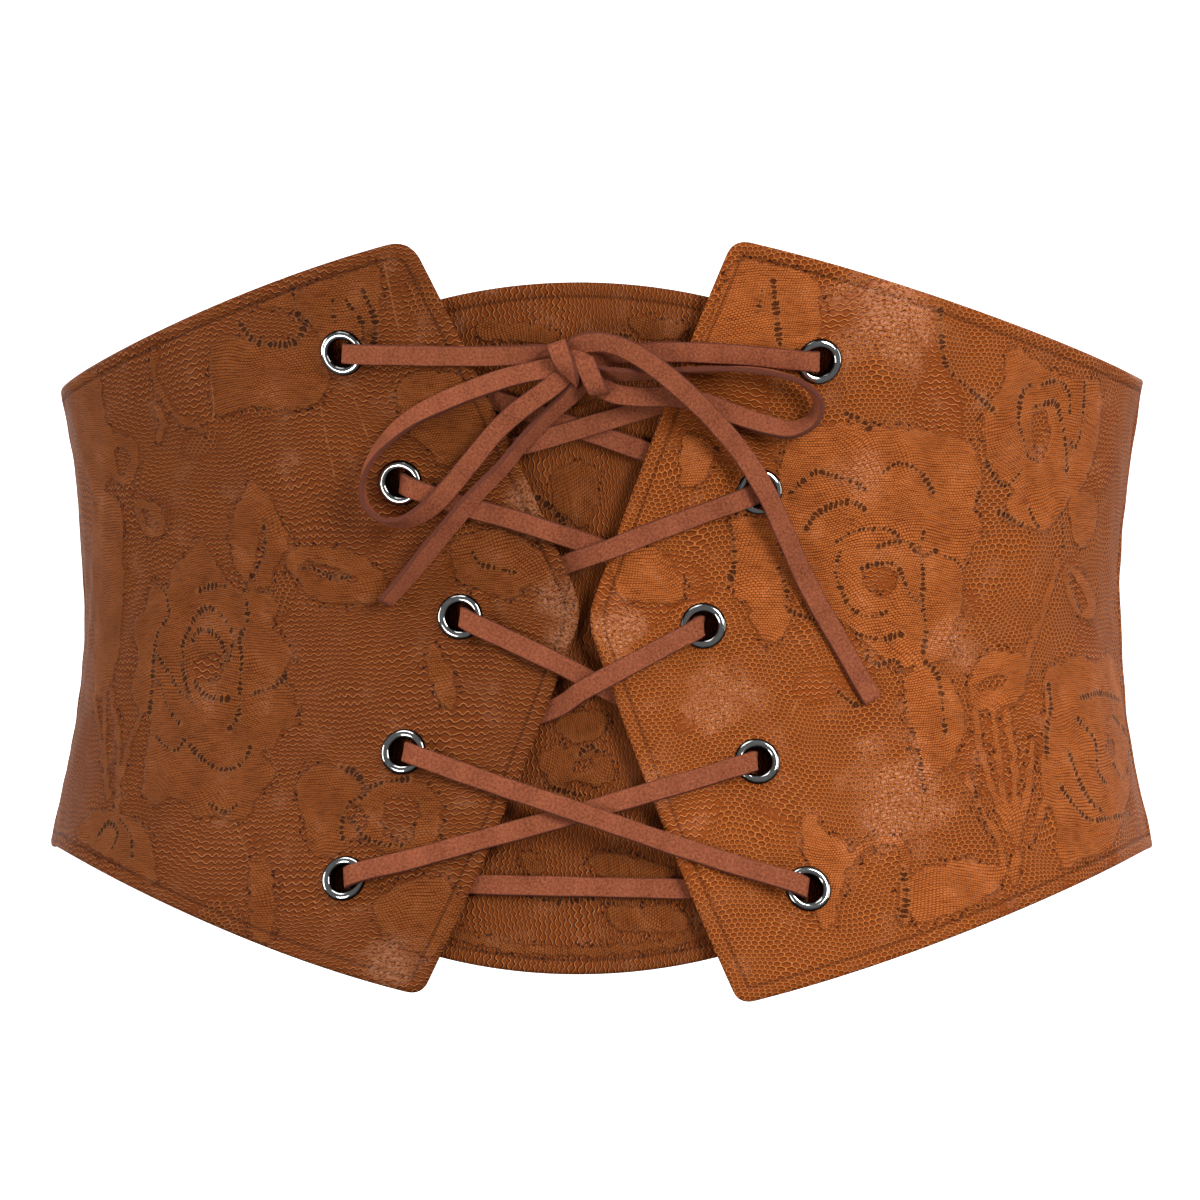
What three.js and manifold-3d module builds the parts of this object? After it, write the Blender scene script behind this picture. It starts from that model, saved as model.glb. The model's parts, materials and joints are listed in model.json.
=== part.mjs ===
// A corset belt with a laced front. Two leather panels meet at the waist in front, a flat lace runs through
// five eyelets on each of them and is tied in a bow, a modesty panel lies behind the lacing, and a plain
// elastic panel closes the loop at the back.
// Millimetres. X points to the viewer's right, Y away from the viewer and Z up. The origin is the middle of
// the waist loop.
// Each cloth piece is drawn flat, in pattern coordinates, and wrapped round the waist: along is measured
// round the waist from the middle of the front, height up from the waist, and level out from the inside face
// of the front panels.

import * as THREE from "three";
import { mergeVertices } from "three/addons/utils/BufferGeometryUtils.js";
import Module from "manifold-3d";

// Waist loop, at the inside face of the front panels
const WAIST_WIDTH = 240;
const WAIST_DEPTH = 181;
const LOOP_POWER = 2.3; // 2 would be an ellipse, and more is squarer
const FLARE_TOP = 5.1; // how much wider each side is at FLARE_HEIGHT above the waist
const FLARE_BOTTOM = 6.9; // the same below the waist
const FLARE_HEIGHT = 50;
const FLARE_SOFTNESS = 40; // the height over which the waist turns into the flare
const DEPTH_FLARE = 0.75; // the share of the flare that the front and the back take

// Clearance between pieces that touch on the real belt
const GAP = 0.35;

// Front panels
const PANEL_THICKNESS = 1.8;
const SIDE_SEAM = 160; // from the middle to each side seam
const TIP_OFFSET = 1.5; // the tips meet a little to the right of the middle
const TIP_GAP = 0.7;
const TIP_ROUND = 5; // how far from each corner its rounding starts
// Each long edge runs from its peak, at a spread from the middle, to the side seam. Its curve is how hollow it
// is between them.
const LEFT_TIP_HEIGHT = 0.5;
const LEFT_TOP_SPREAD = 34.6;
const LEFT_TOP_PEAK = 84.6;
const LEFT_TOP_ROUND = 5;
const LEFT_TOP_SEAM = 53.1;
const LEFT_BOTTOM_SPREAD = 30.8;
const LEFT_BOTTOM_PEAK = -86.7;
const LEFT_BOTTOM_ROUND = 3.2;
const LEFT_BOTTOM_SEAM = -55.5;
const RIGHT_TIP_HEIGHT = -1.6;
const RIGHT_TOP_SPREAD = 32.4;
const RIGHT_TOP_PEAK = 84.5;
const RIGHT_TOP_ROUND = 3.8;
const RIGHT_TOP_SEAM = 54.7;
const RIGHT_BOTTOM_SPREAD = 32.5;
const RIGHT_BOTTOM_PEAK = -88.6;
const RIGHT_BOTTOM_ROUND = 3.2;
const RIGHT_BOTTOM_SEAM = -55.4;
const PANELS = {
  left: {
    side: -1,
    tip: LEFT_TIP_HEIGHT,
    top: {
      spread: LEFT_TOP_SPREAD,
      peak: LEFT_TOP_PEAK,
      round: LEFT_TOP_ROUND,
      seam: LEFT_TOP_SEAM,
      curve: 1.1,
    },
    bottom: {
      spread: LEFT_BOTTOM_SPREAD,
      peak: LEFT_BOTTOM_PEAK,
      round: LEFT_BOTTOM_ROUND,
      seam: LEFT_BOTTOM_SEAM,
      curve: 1.4,
    },
  },
  right: {
    side: 1,
    tip: RIGHT_TIP_HEIGHT,
    top: {
      spread: RIGHT_TOP_SPREAD,
      peak: RIGHT_TOP_PEAK,
      round: RIGHT_TOP_ROUND,
      seam: RIGHT_TOP_SEAM,
      curve: 0.92,
    },
    bottom: {
      spread: RIGHT_BOTTOM_SPREAD,
      peak: RIGHT_BOTTOM_PEAK,
      round: RIGHT_BOTTOM_ROUND,
      seam: RIGHT_BOTTOM_SEAM,
      curve: 1,
    },
  },
};

// Lace: a flat strip
const LACE_WIDTH = 4.6;
const LACE_THICKNESS = 1.3;
const LACE_CHAMFER = 0.35;
const LACE_SAG = 0.5; // how far the lower strand of an open crossing sinks between the centre edges
const EDGE_LIFT = 0.1; // where a strand on a panel bends down over the centre edge
const GAP_UPPER = 1.75; // levels of strands on their way down between the centre edges
const GAP_MIDDLE = 1.0;
const GAP_DROP = 0.25;

// Eyelets: the rows from the top down, as shares of the pitch and of the inset from the centre edge
const EYELET_PITCH = 30;
const EYELET_INSET = 27;
const EYELET_ROWS = [
  { rise: 1.955, left: 1.0, right: 1.082 },
  { rise: 0.97, left: 1.053, right: 1.041 },
  { rise: -0.05, left: 1.011, right: 0.955 },
  { rise: -1.08, left: 1.028, right: 0.962 },
  { rise: -2.04, left: 1.032, right: 0.918 },
];
const BORE_ROOM = 0.5; // between the lace's corners and the bore
const BORE_SHIFT = 0.5; // from the bore's middle to the lace in it
const EYELET_WALL = 0.45;
const RIM_WIDTH = 2.15;
const RIM_HEIGHT = 0.95;
const BACK_RIM_HEIGHT = 0.4;

// Modesty panel
const MODESTY_THICKNESS = 1.5;
const MODESTY_TOP = 74.2;
const MODESTY_BOTTOM = -81.1;
const MODESTY_TOP_DROP = 20; // how much lower its upper edge is at the sides
const MODESTY_BOTTOM_DROP = 22;
const MODESTY_STEP = 6; // the width over which its sides step out to the front panels
const MODESTY_SEAT = 5; // the width that then lies against them

// Back panel
const BACK_THICKNESS = 1.6;
const BACK_LAP = 12; // how far it reaches under the front panels
const BACK_MARGIN = 1.5; // how far its edges stay inside theirs

// The lacing, from the right side of the knot to the left side. Each span's middle points are a share of the
// way to the next eyelet, a rise from the straight line, and a level by name.
const LACING = [
  {
    panel: "right", row: 0, inward: true,
    span: [[0.37, 0, "behind"], [0.485, 0, "behindUpper"], [0.645, 0, "behindUpper"], [0.76, 0, "behind"]],
  },
  {
    panel: "left", row: 1, inward: false,
    span: [[0.2, 1.5, "onPanel"], [0.38, 3.9, "onPanel"], [0.52, 5.3, "onEdge"], [0.592, 5.8, "gapLower"],
      [0.665, 6.2, "underPanel"], [0.8, 3.6, "behind"]],
  },
  {
    panel: "right", row: 2, inward: false,
    span: [[0.16, -1.2, "onPanel"], [0.33, -2.5, "onEdge"], [0.41, -3.1, "gapUpper"],
      [0.49, -4.1, "underPanel"], [0.75, -2.6, "behind"]],
  },
  {
    panel: "left", row: 3, inward: false,
    span: [[0.15, 0, "onPanel"], [0.26, 0, "onPanel"], [0.357, 0, "crossUpper"], [0.536, 0, "crossUpper"],
      [0.66, 0, "onPanel"], [0.85, 0, "onPanel"]],
  },
  {
    panel: "right", row: 4, inward: true,
    span: [[0.25, 0, "behind"], [0.5, 0, "behind"], [0.75, 0, "behind"]],
  },
  {
    panel: "left", row: 4, inward: false,
    span: [[0.15, 0, "onPanel"], [0.34, 0, "onPanel"], [0.475, 0, "crossLower"], [0.645, 0, "crossLower"],
      [0.76, 0, "onPanel"], [0.88, 0, "onPanel"]],
  },
  {
    panel: "right", row: 3, inward: true,
    span: [[0.25, 0, "behind"], [0.44, 0.1, "underPanel"], [0.54, 0.2, "gapLower"], [0.65, 0.4, "onEdge"],
      [0.83, 0.2, "onPanel"]],
  },
  {
    panel: "left", row: 2, inward: true,
    span: [[0.2, 0.9, "behind"], [0.372, 1.7, "underPanel"], [0.425, 1.4, "gapMiddle"], [0.49, 1.1, "onEdge"],
      [0.62, 0.9, "onPanel"], [0.84, 0.3, "onPanel"]],
  },
  {
    panel: "right", row: 1, inward: true,
    span: [[0.24, 0, "behind"], [0.44, 0, "behind"], [0.65, 0, "behind"]],
  },
  { panel: "left", row: 0, inward: false, span: [] },
];

// The two ends of the lacing that run to the knot, and the bow: along, height, level and the roll of the
// lace in degrees, 0 where it lies flat
const KNOT_SPAN_RIGHT = [[34, 58.6, 2.9, 0], [20, 59.2, 3.1, 0], [11, 58.8, 3.2, 10], [5.6, 58.1, 3.2, 15]];
const KNOT_SPAN_LEFT = [
  [-38, 58.6, 2.9, 0], [-22, 58.3, 2.9, 0], [-12, 58.5, 2.9, 10], [-5.2, 58.7, 3.0, 20],
];
const KNOT_CENTRE = [0.6, 56, 4.6];
const KNOT_RADII = [6.6, 4.9, 3.1];
const KNOT_TURN = -38; // degrees in the plane of the front
const KNOT_FLAP = [[-1.4, 60.2, 6.6, 0], [1.3, 57.6, 8.1, 0], [4.3, 53.8, 8.0, 0], [6.2, 51.2, 6.8, 0]];
const BOW = {
  bow_loop_left: [[-5.1, 55.9, 5.0, 10], [-14.5, 53.7, 5.4, 15], [-21.5, 51.2, 5.6, 20], [-29, 48.0, 5.3, 25],
    [-35.8, 44.4, 5.0, 35], [-41, 40.2, 5.0, 50], [-45, 35.4, 5.2, 65], [-47.2, 30.2, 5.4, 75],
    [-46.8, 25.0, 5.7, 82], [-43.4, 21.4, 6.0, 78], [-38.4, 20.8, 6.3, 62], [-33, 23.6, 6.2, 35],
    [-28.2, 28.4, 5.8, 15], [-23.2, 34.4, 5.6, 5], [-17.1, 41.8, 5.6, 0], [-12.2, 46.4, 6.2, 0],
    [-5.4, 51.2, 7.3, 0]],
  lace_tail_left: [[-0.4, 50.3, 4.8, -40], [-6.4, 44.6, 4.4, -50], [-11.4, 39.2, 4.2, -58],
    [-16.6, 32.8, 4.8, -58], [-22.0, 27.2, 6.0, -50], [-27.3, 20.8, 6.4, -45], [-32.6, 14.6, 5.2, -45],
    [-38, 8.2, 4.5, -55], [-43.4, 2.0, 4.4, -65]],
  bow_loop_right: [[6.5, 54.4, 4.8, 50], [15.4, 54.4, 4.8, 62], [21.3, 54.9, 5.0, 72], [28.6, 55.6, 5.8, 80],
    [36, 55.6, 6.4, 88], [43.3, 54.4, 6.7, 90], [48.6, 52.0, 6.6, 88], [51.4, 48.2, 6.3, 82],
    [50.4, 44.2, 5.9, 66], [46.2, 41.9, 5.4, 45], [40.2, 43.1, 4.8, 25], [33.5, 45.4, 4.4, 12],
    [26.6, 48.0, 4.2, 5], [19.6, 49.2, 4.0, 5], [13.2, 49.2, 3.9, 5], [7.9, 49.6, 4.0, 5]],
  lace_tail_right: [[3.9, 62.0, 5.5, 10], [8.4, 61.2, 6.4, 8], [13.4, 58.8, 7.5, 5], [18.6, 54.9, 8.5, 3],
    [24.3, 49.6, 8.2, 0], [30.4, 43, 6.4, 0], [36.3, 35.6, 5.9, 0], [41.4, 27.2, 6.2, 0],
    [45.6, 18.4, 5.4, 2], [49.4, 10.4, 4.0, 4], [53.7, 2.2, 3.1, 4], [58.2, -5.8, 2.9, 2],
    [62.2, -13.2, 2.8, 0], [65.9, -20.3, 2.8, 0]],
};

// Fineness of the solids
const LOOP_SAMPLES = 1440;
const PANEL_COLUMNS = 19;
const PANEL_ROWS = 6; // on each side of the tip
const CORNER_STEPS = 3;
const MODESTY_COLUMNS = 22;
const MODESTY_ROWS = 8;
const BACK_COLUMNS = 28;
const BACK_ROWS = 8;
const EYELET_SIDES = 12;
const RIM_STEPS = 3;
const LACE_STEP = 8;

const wasm = await Module();
wasm.setup();

const mix = (a, b, share) => a + (b - a) * share;
const smooth = (share) => THREE.MathUtils.smoothstep(share, 0, 1);
const radians = THREE.MathUtils.degToRad;

// The waist loop

function flareAt(height) {
  const reach = (h) => Math.hypot(1, h / FLARE_SOFTNESS) - 1;
  const most = height > 0 ? FLARE_TOP : FLARE_BOTTOM;
  return (most * reach(height)) / reach(FLARE_HEIGHT);
}

function loopPoint(angle, height) {
  const flare = flareAt(height);
  const halfWidth = WAIST_WIDTH / 2 + flare;
  const halfDepth = WAIST_DEPTH / 2 + DEPTH_FLARE * flare;
  const x = Math.sin(angle);
  const y = -Math.cos(angle);
  const size = Math.abs(x / halfWidth) ** LOOP_POWER + Math.abs(y / halfDepth) ** LOOP_POWER;
  const radius = size ** (-1 / LOOP_POWER);
  return new THREE.Vector3(radius * x, radius * y, height);
}

// Lengths round the waist, from the middle of the front, at even steps of the angle
const loopLengths = [0];
for (let i = 1; i <= LOOP_SAMPLES; i++) {
  const step = (2 * Math.PI) / LOOP_SAMPLES;
  const chord = loopPoint(i * step, 0).distanceTo(loopPoint((i - 1) * step, 0));
  loopLengths.push(loopLengths[i - 1] + chord);
}
const GIRTH = loopLengths[LOOP_SAMPLES];

function angleAt(along) {
  const length = THREE.MathUtils.euclideanModulo(along, GIRTH);
  let low = 0;
  let high = LOOP_SAMPLES;
  while (high - low > 1) {
    const middle = (low + high) >> 1;
    if (loopLengths[middle] > length) high = middle;
    else low = middle;
  }
  const share = (length - loopLengths[low]) / (loopLengths[high] - loopLengths[low]);
  return ((low + share) * 2 * Math.PI) / LOOP_SAMPLES;
}

// The point, and the directions along, up and out, at a place on the loop
function placeOn(along, height, level) {
  const angle = angleAt(along);
  const step = 1e-3;
  const round = loopPoint(angle + step, height).sub(loopPoint(angle - step, height)).normalize();
  const up = loopPoint(angle, height + step).sub(loopPoint(angle, height - step)).normalize();
  const out = new THREE.Vector3().crossVectors(round, up).normalize();
  const point = loopPoint(angle, height).addScaledVector(out, level);
  return { point, round, up, out };
}

// Solids

function meshGeometry(vertices, faces) {
  const geometry = new THREE.BufferGeometry();
  geometry.setAttribute("position", new THREE.Float32BufferAttribute(vertices, 3));
  geometry.setIndex(faces);
  geometry.computeVertexNormals();
  return geometry;
}

function toSolid(geometry) {
  const bare = geometry.clone();
  bare.deleteAttribute("normal");
  bare.deleteAttribute("uv");
  const merged = mergeVertices(bare, 1e-4);
  const vertProperties = merged.attributes.position.array;
  const triVerts = new Uint32Array(merged.index.array);
  return new wasm.Manifold(new wasm.Mesh({ numProp: 3, vertProperties, triVerts }));
}

function toGeometry(solid) {
  const mesh = solid.getMesh();
  const vertices = [];
  for (let i = 0; i < mesh.numVert; i++) {
    vertices.push(...mesh.vertProperties.subarray(i * mesh.numProp, i * mesh.numProp + 3));
  }
  return meshGeometry(vertices, [...mesh.triVerts]);
}

// A closed sheet between two levels over rows of pattern points, each row from left to right
function sheetGeometry(rows, innerLevel, outerLevel) {
  const columns = rows[0].length;
  const count = rows.length * columns;
  const vertices = [];
  for (const level of [outerLevel, innerLevel]) {
    for (const [along, height] of rows.flat()) {
      vertices.push(...placeOn(along, height, level(along, height)).point);
    }
  }
  const faces = [];
  const quad = (a, b, c, d) => faces.push(a, b, c, a, c, d);
  for (let r = 0; r + 1 < rows.length; r++) {
    for (let c = 0; c + 1 < columns; c++) {
      const a = r * columns + c;
      quad(a, a + 1, a + 1 + columns, a + columns);
      quad(count + a, count + a + columns, count + a + 1 + columns, count + a + 1);
    }
  }
  const border = [];
  for (let c = 0; c < columns; c++) border.push(c);
  for (let r = 1; r < rows.length; r++) border.push(r * columns + columns - 1);
  for (let c = columns - 2; c >= 0; c--) border.push((rows.length - 1) * columns + c);
  for (let r = rows.length - 2; r > 0; r--) border.push(r * columns);
  border.forEach((a, i) => {
    const b = border[(i + 1) % border.length];
    quad(a, count + a, count + b, b);
  });
  return meshGeometry(vertices, faces);
}

// Points of a corner's rounding, from a to b round the corner
function roundedCorner(a, corner, b) {
  const curve = new THREE.QuadraticBezierCurve(
    new THREE.Vector2(...a),
    new THREE.Vector2(...corner),
    new THREE.Vector2(...b),
  );
  return curve.getPoints(CORNER_STEPS).map((p) => [p.x, p.y]);
}

// The point at a distance from a towards b
function towards(a, b, distance) {
  const share = distance / Math.hypot(b[0] - a[0], b[1] - a[1]);
  return [mix(a[0], b[0], share), mix(a[1], b[1], share)];
}

// Front panels

const peakOf = (panel, edge) => [panel.side * panel[edge].spread, panel[edge].peak];
const tipOf = (panel) => [TIP_OFFSET + (panel.side * TIP_GAP) / 2, panel.tip];

// A point of the long upper or lower edge, at a share of the way from the peak to the side seam
function longEdge(panel, share, edge) {
  const peak = peakOf(panel, edge);
  const hollow = 1 - panel[edge].curve * share ** 2;
  return [mix(peak[0], panel.side * SIDE_SEAM, share), mix(panel[edge].seam, peak[1], (1 - share) * hollow)];
}

// Where the straight centre edge is at a height
function centreEdge(panel, height) {
  const tip = tipOf(panel);
  const peak = peakOf(panel, height > tip[1] ? "top" : "bottom");
  return mix(tip[0], peak[0], (height - tip[1]) / (peak[1] - tip[1]));
}

// The long edge with its rounded corner at the peak
function edgePoints(panel, edge) {
  const { spread, round } = panel[edge];
  const corner = peakOf(panel, edge);
  const cornerShare = round / (SIDE_SEAM - spread);
  const before = towards(corner, tipOf(panel), round);
  const points = roundedCorner(before, corner, longEdge(panel, cornerShare, edge));
  for (let i = 1; i <= PANEL_COLUMNS; i++) {
    points.push(longEdge(panel, mix(cornerShare, 1, i / PANEL_COLUMNS), edge));
  }
  return points;
}

// The centre edge from the lower corner's rounding to the upper corner's, round the tip
function centrePoints(panel) {
  const tip = tipOf(panel);
  const low = towards(peakOf(panel, "bottom"), tip, panel.bottom.round);
  const high = towards(peakOf(panel, "top"), tip, panel.top.round);
  const before = towards(tip, low, TIP_ROUND);
  const after = towards(tip, high, TIP_ROUND);
  const points = [];
  for (let i = 0; i < PANEL_ROWS; i++) {
    points.push([mix(low[0], before[0], i / PANEL_ROWS), mix(low[1], before[1], i / PANEL_ROWS)]);
  }
  points.push(...roundedCorner(before, tip, after));
  for (let i = 1; i <= PANEL_ROWS; i++) {
    points.push([mix(after[0], high[0], i / PANEL_ROWS), mix(after[1], high[1], i / PANEL_ROWS)]);
  }
  return points;
}

// Shares of the length of a line at each of its points
function lengthShares(points) {
  const sums = [0];
  for (let i = 1; i < points.length; i++) {
    const step = Math.hypot(points[i][0] - points[i - 1][0], points[i][1] - points[i - 1][1]);
    sums.push(sums[i - 1] + step);
  }
  return sums.map((sum) => sum / sums[sums.length - 1]);
}

// Pattern points of a front panel, filled in between its centre edge, long edges and side seam
function panelRows(panel) {
  const top = edgePoints(panel, "top");
  const bottom = edgePoints(panel, "bottom");
  const centre = centrePoints(panel);
  const seam = [bottom[bottom.length - 1], top[top.length - 1]];
  const acrossShares = lengthShares(top);
  const upShares = lengthShares(centre);
  const rows = upShares.map((v, r) =>
    acrossShares.map((u, c) =>
      [0, 1].map((k) => {
        const side = mix(seam[0][k], seam[1][k], v);
        const corners = mix(mix(bottom[0][k], top[0][k], v), side, u);
        return mix(bottom[c][k], top[c][k], v) + mix(centre[r][k], side, u) - corners;
      }),
    ),
  );
  return panel.side < 0 ? rows.map((row) => row.reverse()) : rows;
}

const boreRadius = Math.hypot(LACE_WIDTH / 2, BORE_SHIFT + LACE_THICKNESS / 2) + BORE_ROOM;
const rimRadius = boreRadius + RIM_WIDTH;
const holeRadius = boreRadius + EYELET_WALL + GAP;

function eyeletPlace(panelName, row) {
  const panel = PANELS[panelName];
  const height = panel.tip + EYELET_ROWS[row].rise * EYELET_PITCH;
  const inset = EYELET_ROWS[row][panelName] * EYELET_INSET;
  return [centreEdge(panel, height) + panel.side * inset, height];
}

function panelGeometry(name) {
  const rows = panelRows(PANELS[name]);
  let solid = toSolid(sheetGeometry(rows, () => 0, () => PANEL_THICKNESS));
  const punchLength = 6 * PANEL_THICKNESS;
  for (let row = 0; row < EYELET_ROWS.length; row++) {
    const { point, out } = placeOn(...eyeletPlace(name, row), PANEL_THICKNESS / 2);
    const punch = new THREE.CylinderGeometry(holeRadius, holeRadius, punchLength, EYELET_SIDES);
    punch.applyQuaternion(new THREE.Quaternion().setFromUnitVectors(new THREE.Vector3(0, 1, 0), out));
    punch.translate(...point);
    solid = solid.subtract(toSolid(punch));
  }
  return toGeometry(solid);
}

// Eyelets: a rolled rim in front, a barrel through the panel and a flat rim behind it

function eyeletGeometry() {
  const front = PANEL_THICKNESS + GAP;
  const barrel = boreRadius + EYELET_WALL;
  const profile = [[barrel, -GAP], [barrel, front]];
  for (let i = 0; i <= RIM_STEPS; i++) {
    const turn = (Math.PI * i) / RIM_STEPS;
    const radius = mix(boreRadius, rimRadius, (1 + Math.cos(turn)) / 2);
    profile.push([radius, front + RIM_HEIGHT * Math.sin(turn)]);
  }
  profile.push([boreRadius, -GAP]);
  profile.push([boreRadius + BACK_RIM_HEIGHT / 2, -GAP - BACK_RIM_HEIGHT]);
  profile.push([rimRadius - BACK_RIM_HEIGHT / 2, -GAP - BACK_RIM_HEIGHT]);
  profile.push([rimRadius, -GAP]);
  profile.push(profile[0]);
  const points = profile.map(([radius, height]) => new THREE.Vector2(radius, height));
  return new THREE.LatheGeometry(points, EYELET_SIDES);
}

// Levels of the lacing, at the middle of the lace's thickness

const onPanel = PANEL_THICKNESS + GAP + LACE_THICKNESS / 2;
const underPanel = -(GAP + LACE_THICKNESS / 2);
const behind = underPanel - GAP - BACK_RIM_HEIGHT;
const crossLower = onPanel - LACE_SAG;
const levels = {
  overRim: onPanel + RIM_HEIGHT + GAP,
  onPanel,
  onEdge: onPanel + EDGE_LIFT,
  gapUpper: GAP_UPPER,
  gapMiddle: GAP_MIDDLE,
  gapLower: underPanel - GAP_DROP,
  underPanel,
  behind,
  behindUpper: behind + LACE_THICKNESS + GAP,
  crossLower,
  crossUpper: crossLower + LACE_THICKNESS + GAP,
};

// Modesty panel

const lastEyelet = Math.max(
  ...EYELET_ROWS.flatMap((_, row) => ["left", "right"].map((name) => Math.abs(eyeletPlace(name, row)[0]))),
);
const modestyLevel = behind - LACE_THICKNESS / 2 - 1.5 * GAP;
const modestyStepStart = lastEyelet + rimRadius + 2 * GAP;
const modestyHalf = modestyStepStart + MODESTY_STEP + MODESTY_SEAT;

function modestyGeometry() {
  const stepShare = (along) => smooth((Math.abs(along) - modestyStepStart) / MODESTY_STEP);
  const outer = (along) => mix(modestyLevel, -GAP, stepShare(along));
  const rows = [];
  for (let r = 0; r <= MODESTY_ROWS; r++) {
    const row = [];
    for (let c = 0; c <= MODESTY_COLUMNS; c++) {
      const share = (2 * c) / MODESTY_COLUMNS - 1;
      const low = MODESTY_BOTTOM + MODESTY_BOTTOM_DROP * share ** 2;
      const high = MODESTY_TOP - MODESTY_TOP_DROP * share ** 2;
      row.push([share * modestyHalf, mix(low, high, r / MODESTY_ROWS)]);
    }
    rows.push(row);
  }
  return sheetGeometry(rows, (along) => outer(along) - MODESTY_THICKNESS, outer);
}

// Back panel

function backGeometry() {
  const start = SIDE_SEAM - BACK_LAP;
  const { left, right } = PANELS;
  const rows = [];
  for (let r = 0; r <= BACK_ROWS; r++) {
    const row = [];
    for (let c = 0; c <= BACK_COLUMNS; c++) {
      const share = c / BACK_COLUMNS;
      const low = mix(right.bottom.seam, left.bottom.seam, share) + BACK_MARGIN;
      const high = mix(right.top.seam, left.top.seam, share) - BACK_MARGIN;
      row.push([mix(start, GIRTH - start, share), mix(low, high, r / BACK_ROWS)]);
    }
    rows.push(row);
  }
  return sheetGeometry(rows, () => -GAP - BACK_THICKNESS, () => -GAP);
}

// Lace: a strip swept along points in pattern coordinates. Each point has its place, at, and the direction of
// the strip's width there, across.

function laceGeometry(points) {
  const places = points.map((p) => new THREE.Vector3(...p.at));
  const path = new THREE.CatmullRomCurve3(places, false, "centripetal");
  const stations = [];
  for (let i = 0; i + 1 < points.length; i++) {
    const steps = Math.max(1, Math.round(places[i].distanceTo(places[i + 1]) / LACE_STEP));
    for (let k = 0; k < steps; k++) stations.push(i + k / steps);
  }
  stations.push(points.length - 1);
  const spots = stations.map((station) => {
    const i = Math.min(Math.floor(station), points.length - 2);
    const share = station - i;
    const p = path.getPoint(station / (points.length - 1));
    const across = points[i].across.map((value, k) => mix(value, points[i + 1].across[k], share));
    const { point, round, up, out } = placeOn(p.x, p.y, p.z);
    const wide = new THREE.Vector3()
      .addScaledVector(round, across[0])
      .addScaledVector(up, across[1])
      .addScaledVector(out, across[2]);
    return { point, wide };
  });
  const vertices = [];
  spots.forEach(({ point, wide }, i) => {
    const before = spots[Math.max(i - 1, 0)].point;
    const after = spots[Math.min(i + 1, spots.length - 1)].point;
    const forward = new THREE.Vector3().subVectors(after, before).normalize();
    const x = wide.addScaledVector(forward, -wide.dot(forward)).normalize();
    const y = new THREE.Vector3().crossVectors(forward, x);
    for (const [a, b] of laceSection()) {
      vertices.push(...point.clone().addScaledVector(x, a).addScaledVector(y, b));
    }
  });
  return meshGeometry(vertices, tubeFaces(spots.length, laceSection().length));
}

function laceSection() {
  const a = LACE_WIDTH / 2;
  const b = LACE_THICKNESS / 2;
  const c = LACE_CHAMFER;
  return [[a, b - c], [a - c, b], [c - a, b], [-a, b - c], [-a, c - b], [c - a, -b], [a - c, -b], [a, c - b]];
}

// Faces of a closed tube of rings with the same number of sides
function tubeFaces(rings, sides) {
  const faces = [];
  for (let r = 0; r + 1 < rings; r++) {
    for (let k = 0; k < sides; k++) {
      const a = r * sides + k;
      const b = r * sides + ((k + 1) % sides);
      faces.push(a, b, b + sides, a, b + sides, a + sides);
    }
  }
  const last = (rings - 1) * sides;
  for (let k = 1; k + 1 < sides; k++) {
    faces.push(0, k + 1, k);
    faces.push(last, last + k, last + k + 1);
  }
  return faces;
}

// Gives each route point its direction across, turned so that it never flips from one point to the next
function withAcross(route) {
  const points = [];
  route.forEach(({ at, facing, roll = 0 }, i) => {
    const before = route[Math.max(i - 1, 0)].at;
    const after = route[Math.min(i + 1, route.length - 1)].at;
    const [a, b] = facing ?? [after[0] - before[0], after[1] - before[1]];
    const size = Math.hypot(a, b);
    const turn = radians(roll);
    let across = [(-b / size) * Math.cos(turn), (a / size) * Math.cos(turn), Math.sin(turn)];
    const last = points.length ? points[points.length - 1].across : across;
    const dot = across[0] * last[0] + across[1] * last[1] + across[2] * last[2];
    if (facing && dot < 0) across = across.map((value) => -value);
    points.push({ at, across });
  });
  return points;
}

const unit = ([a, b]) => [a / Math.hypot(a, b), b / Math.hypot(a, b)];
const rayTo = (from, to) => unit([to[0] - from[0], to[1] - from[1]]);

// The turn of the lace round an eyelet's rim, from the ray it comes along to the ray it leaves by
function eyeletTurn(eyelet, from, to, inward) {
  const a = rayTo(eyelet, from);
  const b = rayTo(eyelet, to);
  const middle = unit([a[0] + b[0], a[1] + b[1]]);
  const start = inward ? levels.overRim : levels.behind;
  const end = inward ? levels.behind : levels.overRim;
  const between = (ray) => unit([ray[0] + middle[0], ray[1] + middle[1]]);
  const spot = (ray, reach, share) => ({
    at: [eyelet[0] + ray[0] * reach, eyelet[1] + ray[1] * reach, mix(start, end, share)],
    facing: ray,
  });
  return [
    spot(a, rimRadius + LACE_THICKNESS, 0),
    spot(a, rimRadius * 0.55, 0),
    spot(between(a), boreRadius * 0.3, 0.16),
    spot(middle, BORE_SHIFT, 0.5),
    spot(between(b), boreRadius * 0.3, 0.84),
    spot(b, rimRadius * 0.55, 1),
    spot(b, rimRadius + LACE_THICKNESS, 1),
  ];
}

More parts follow.
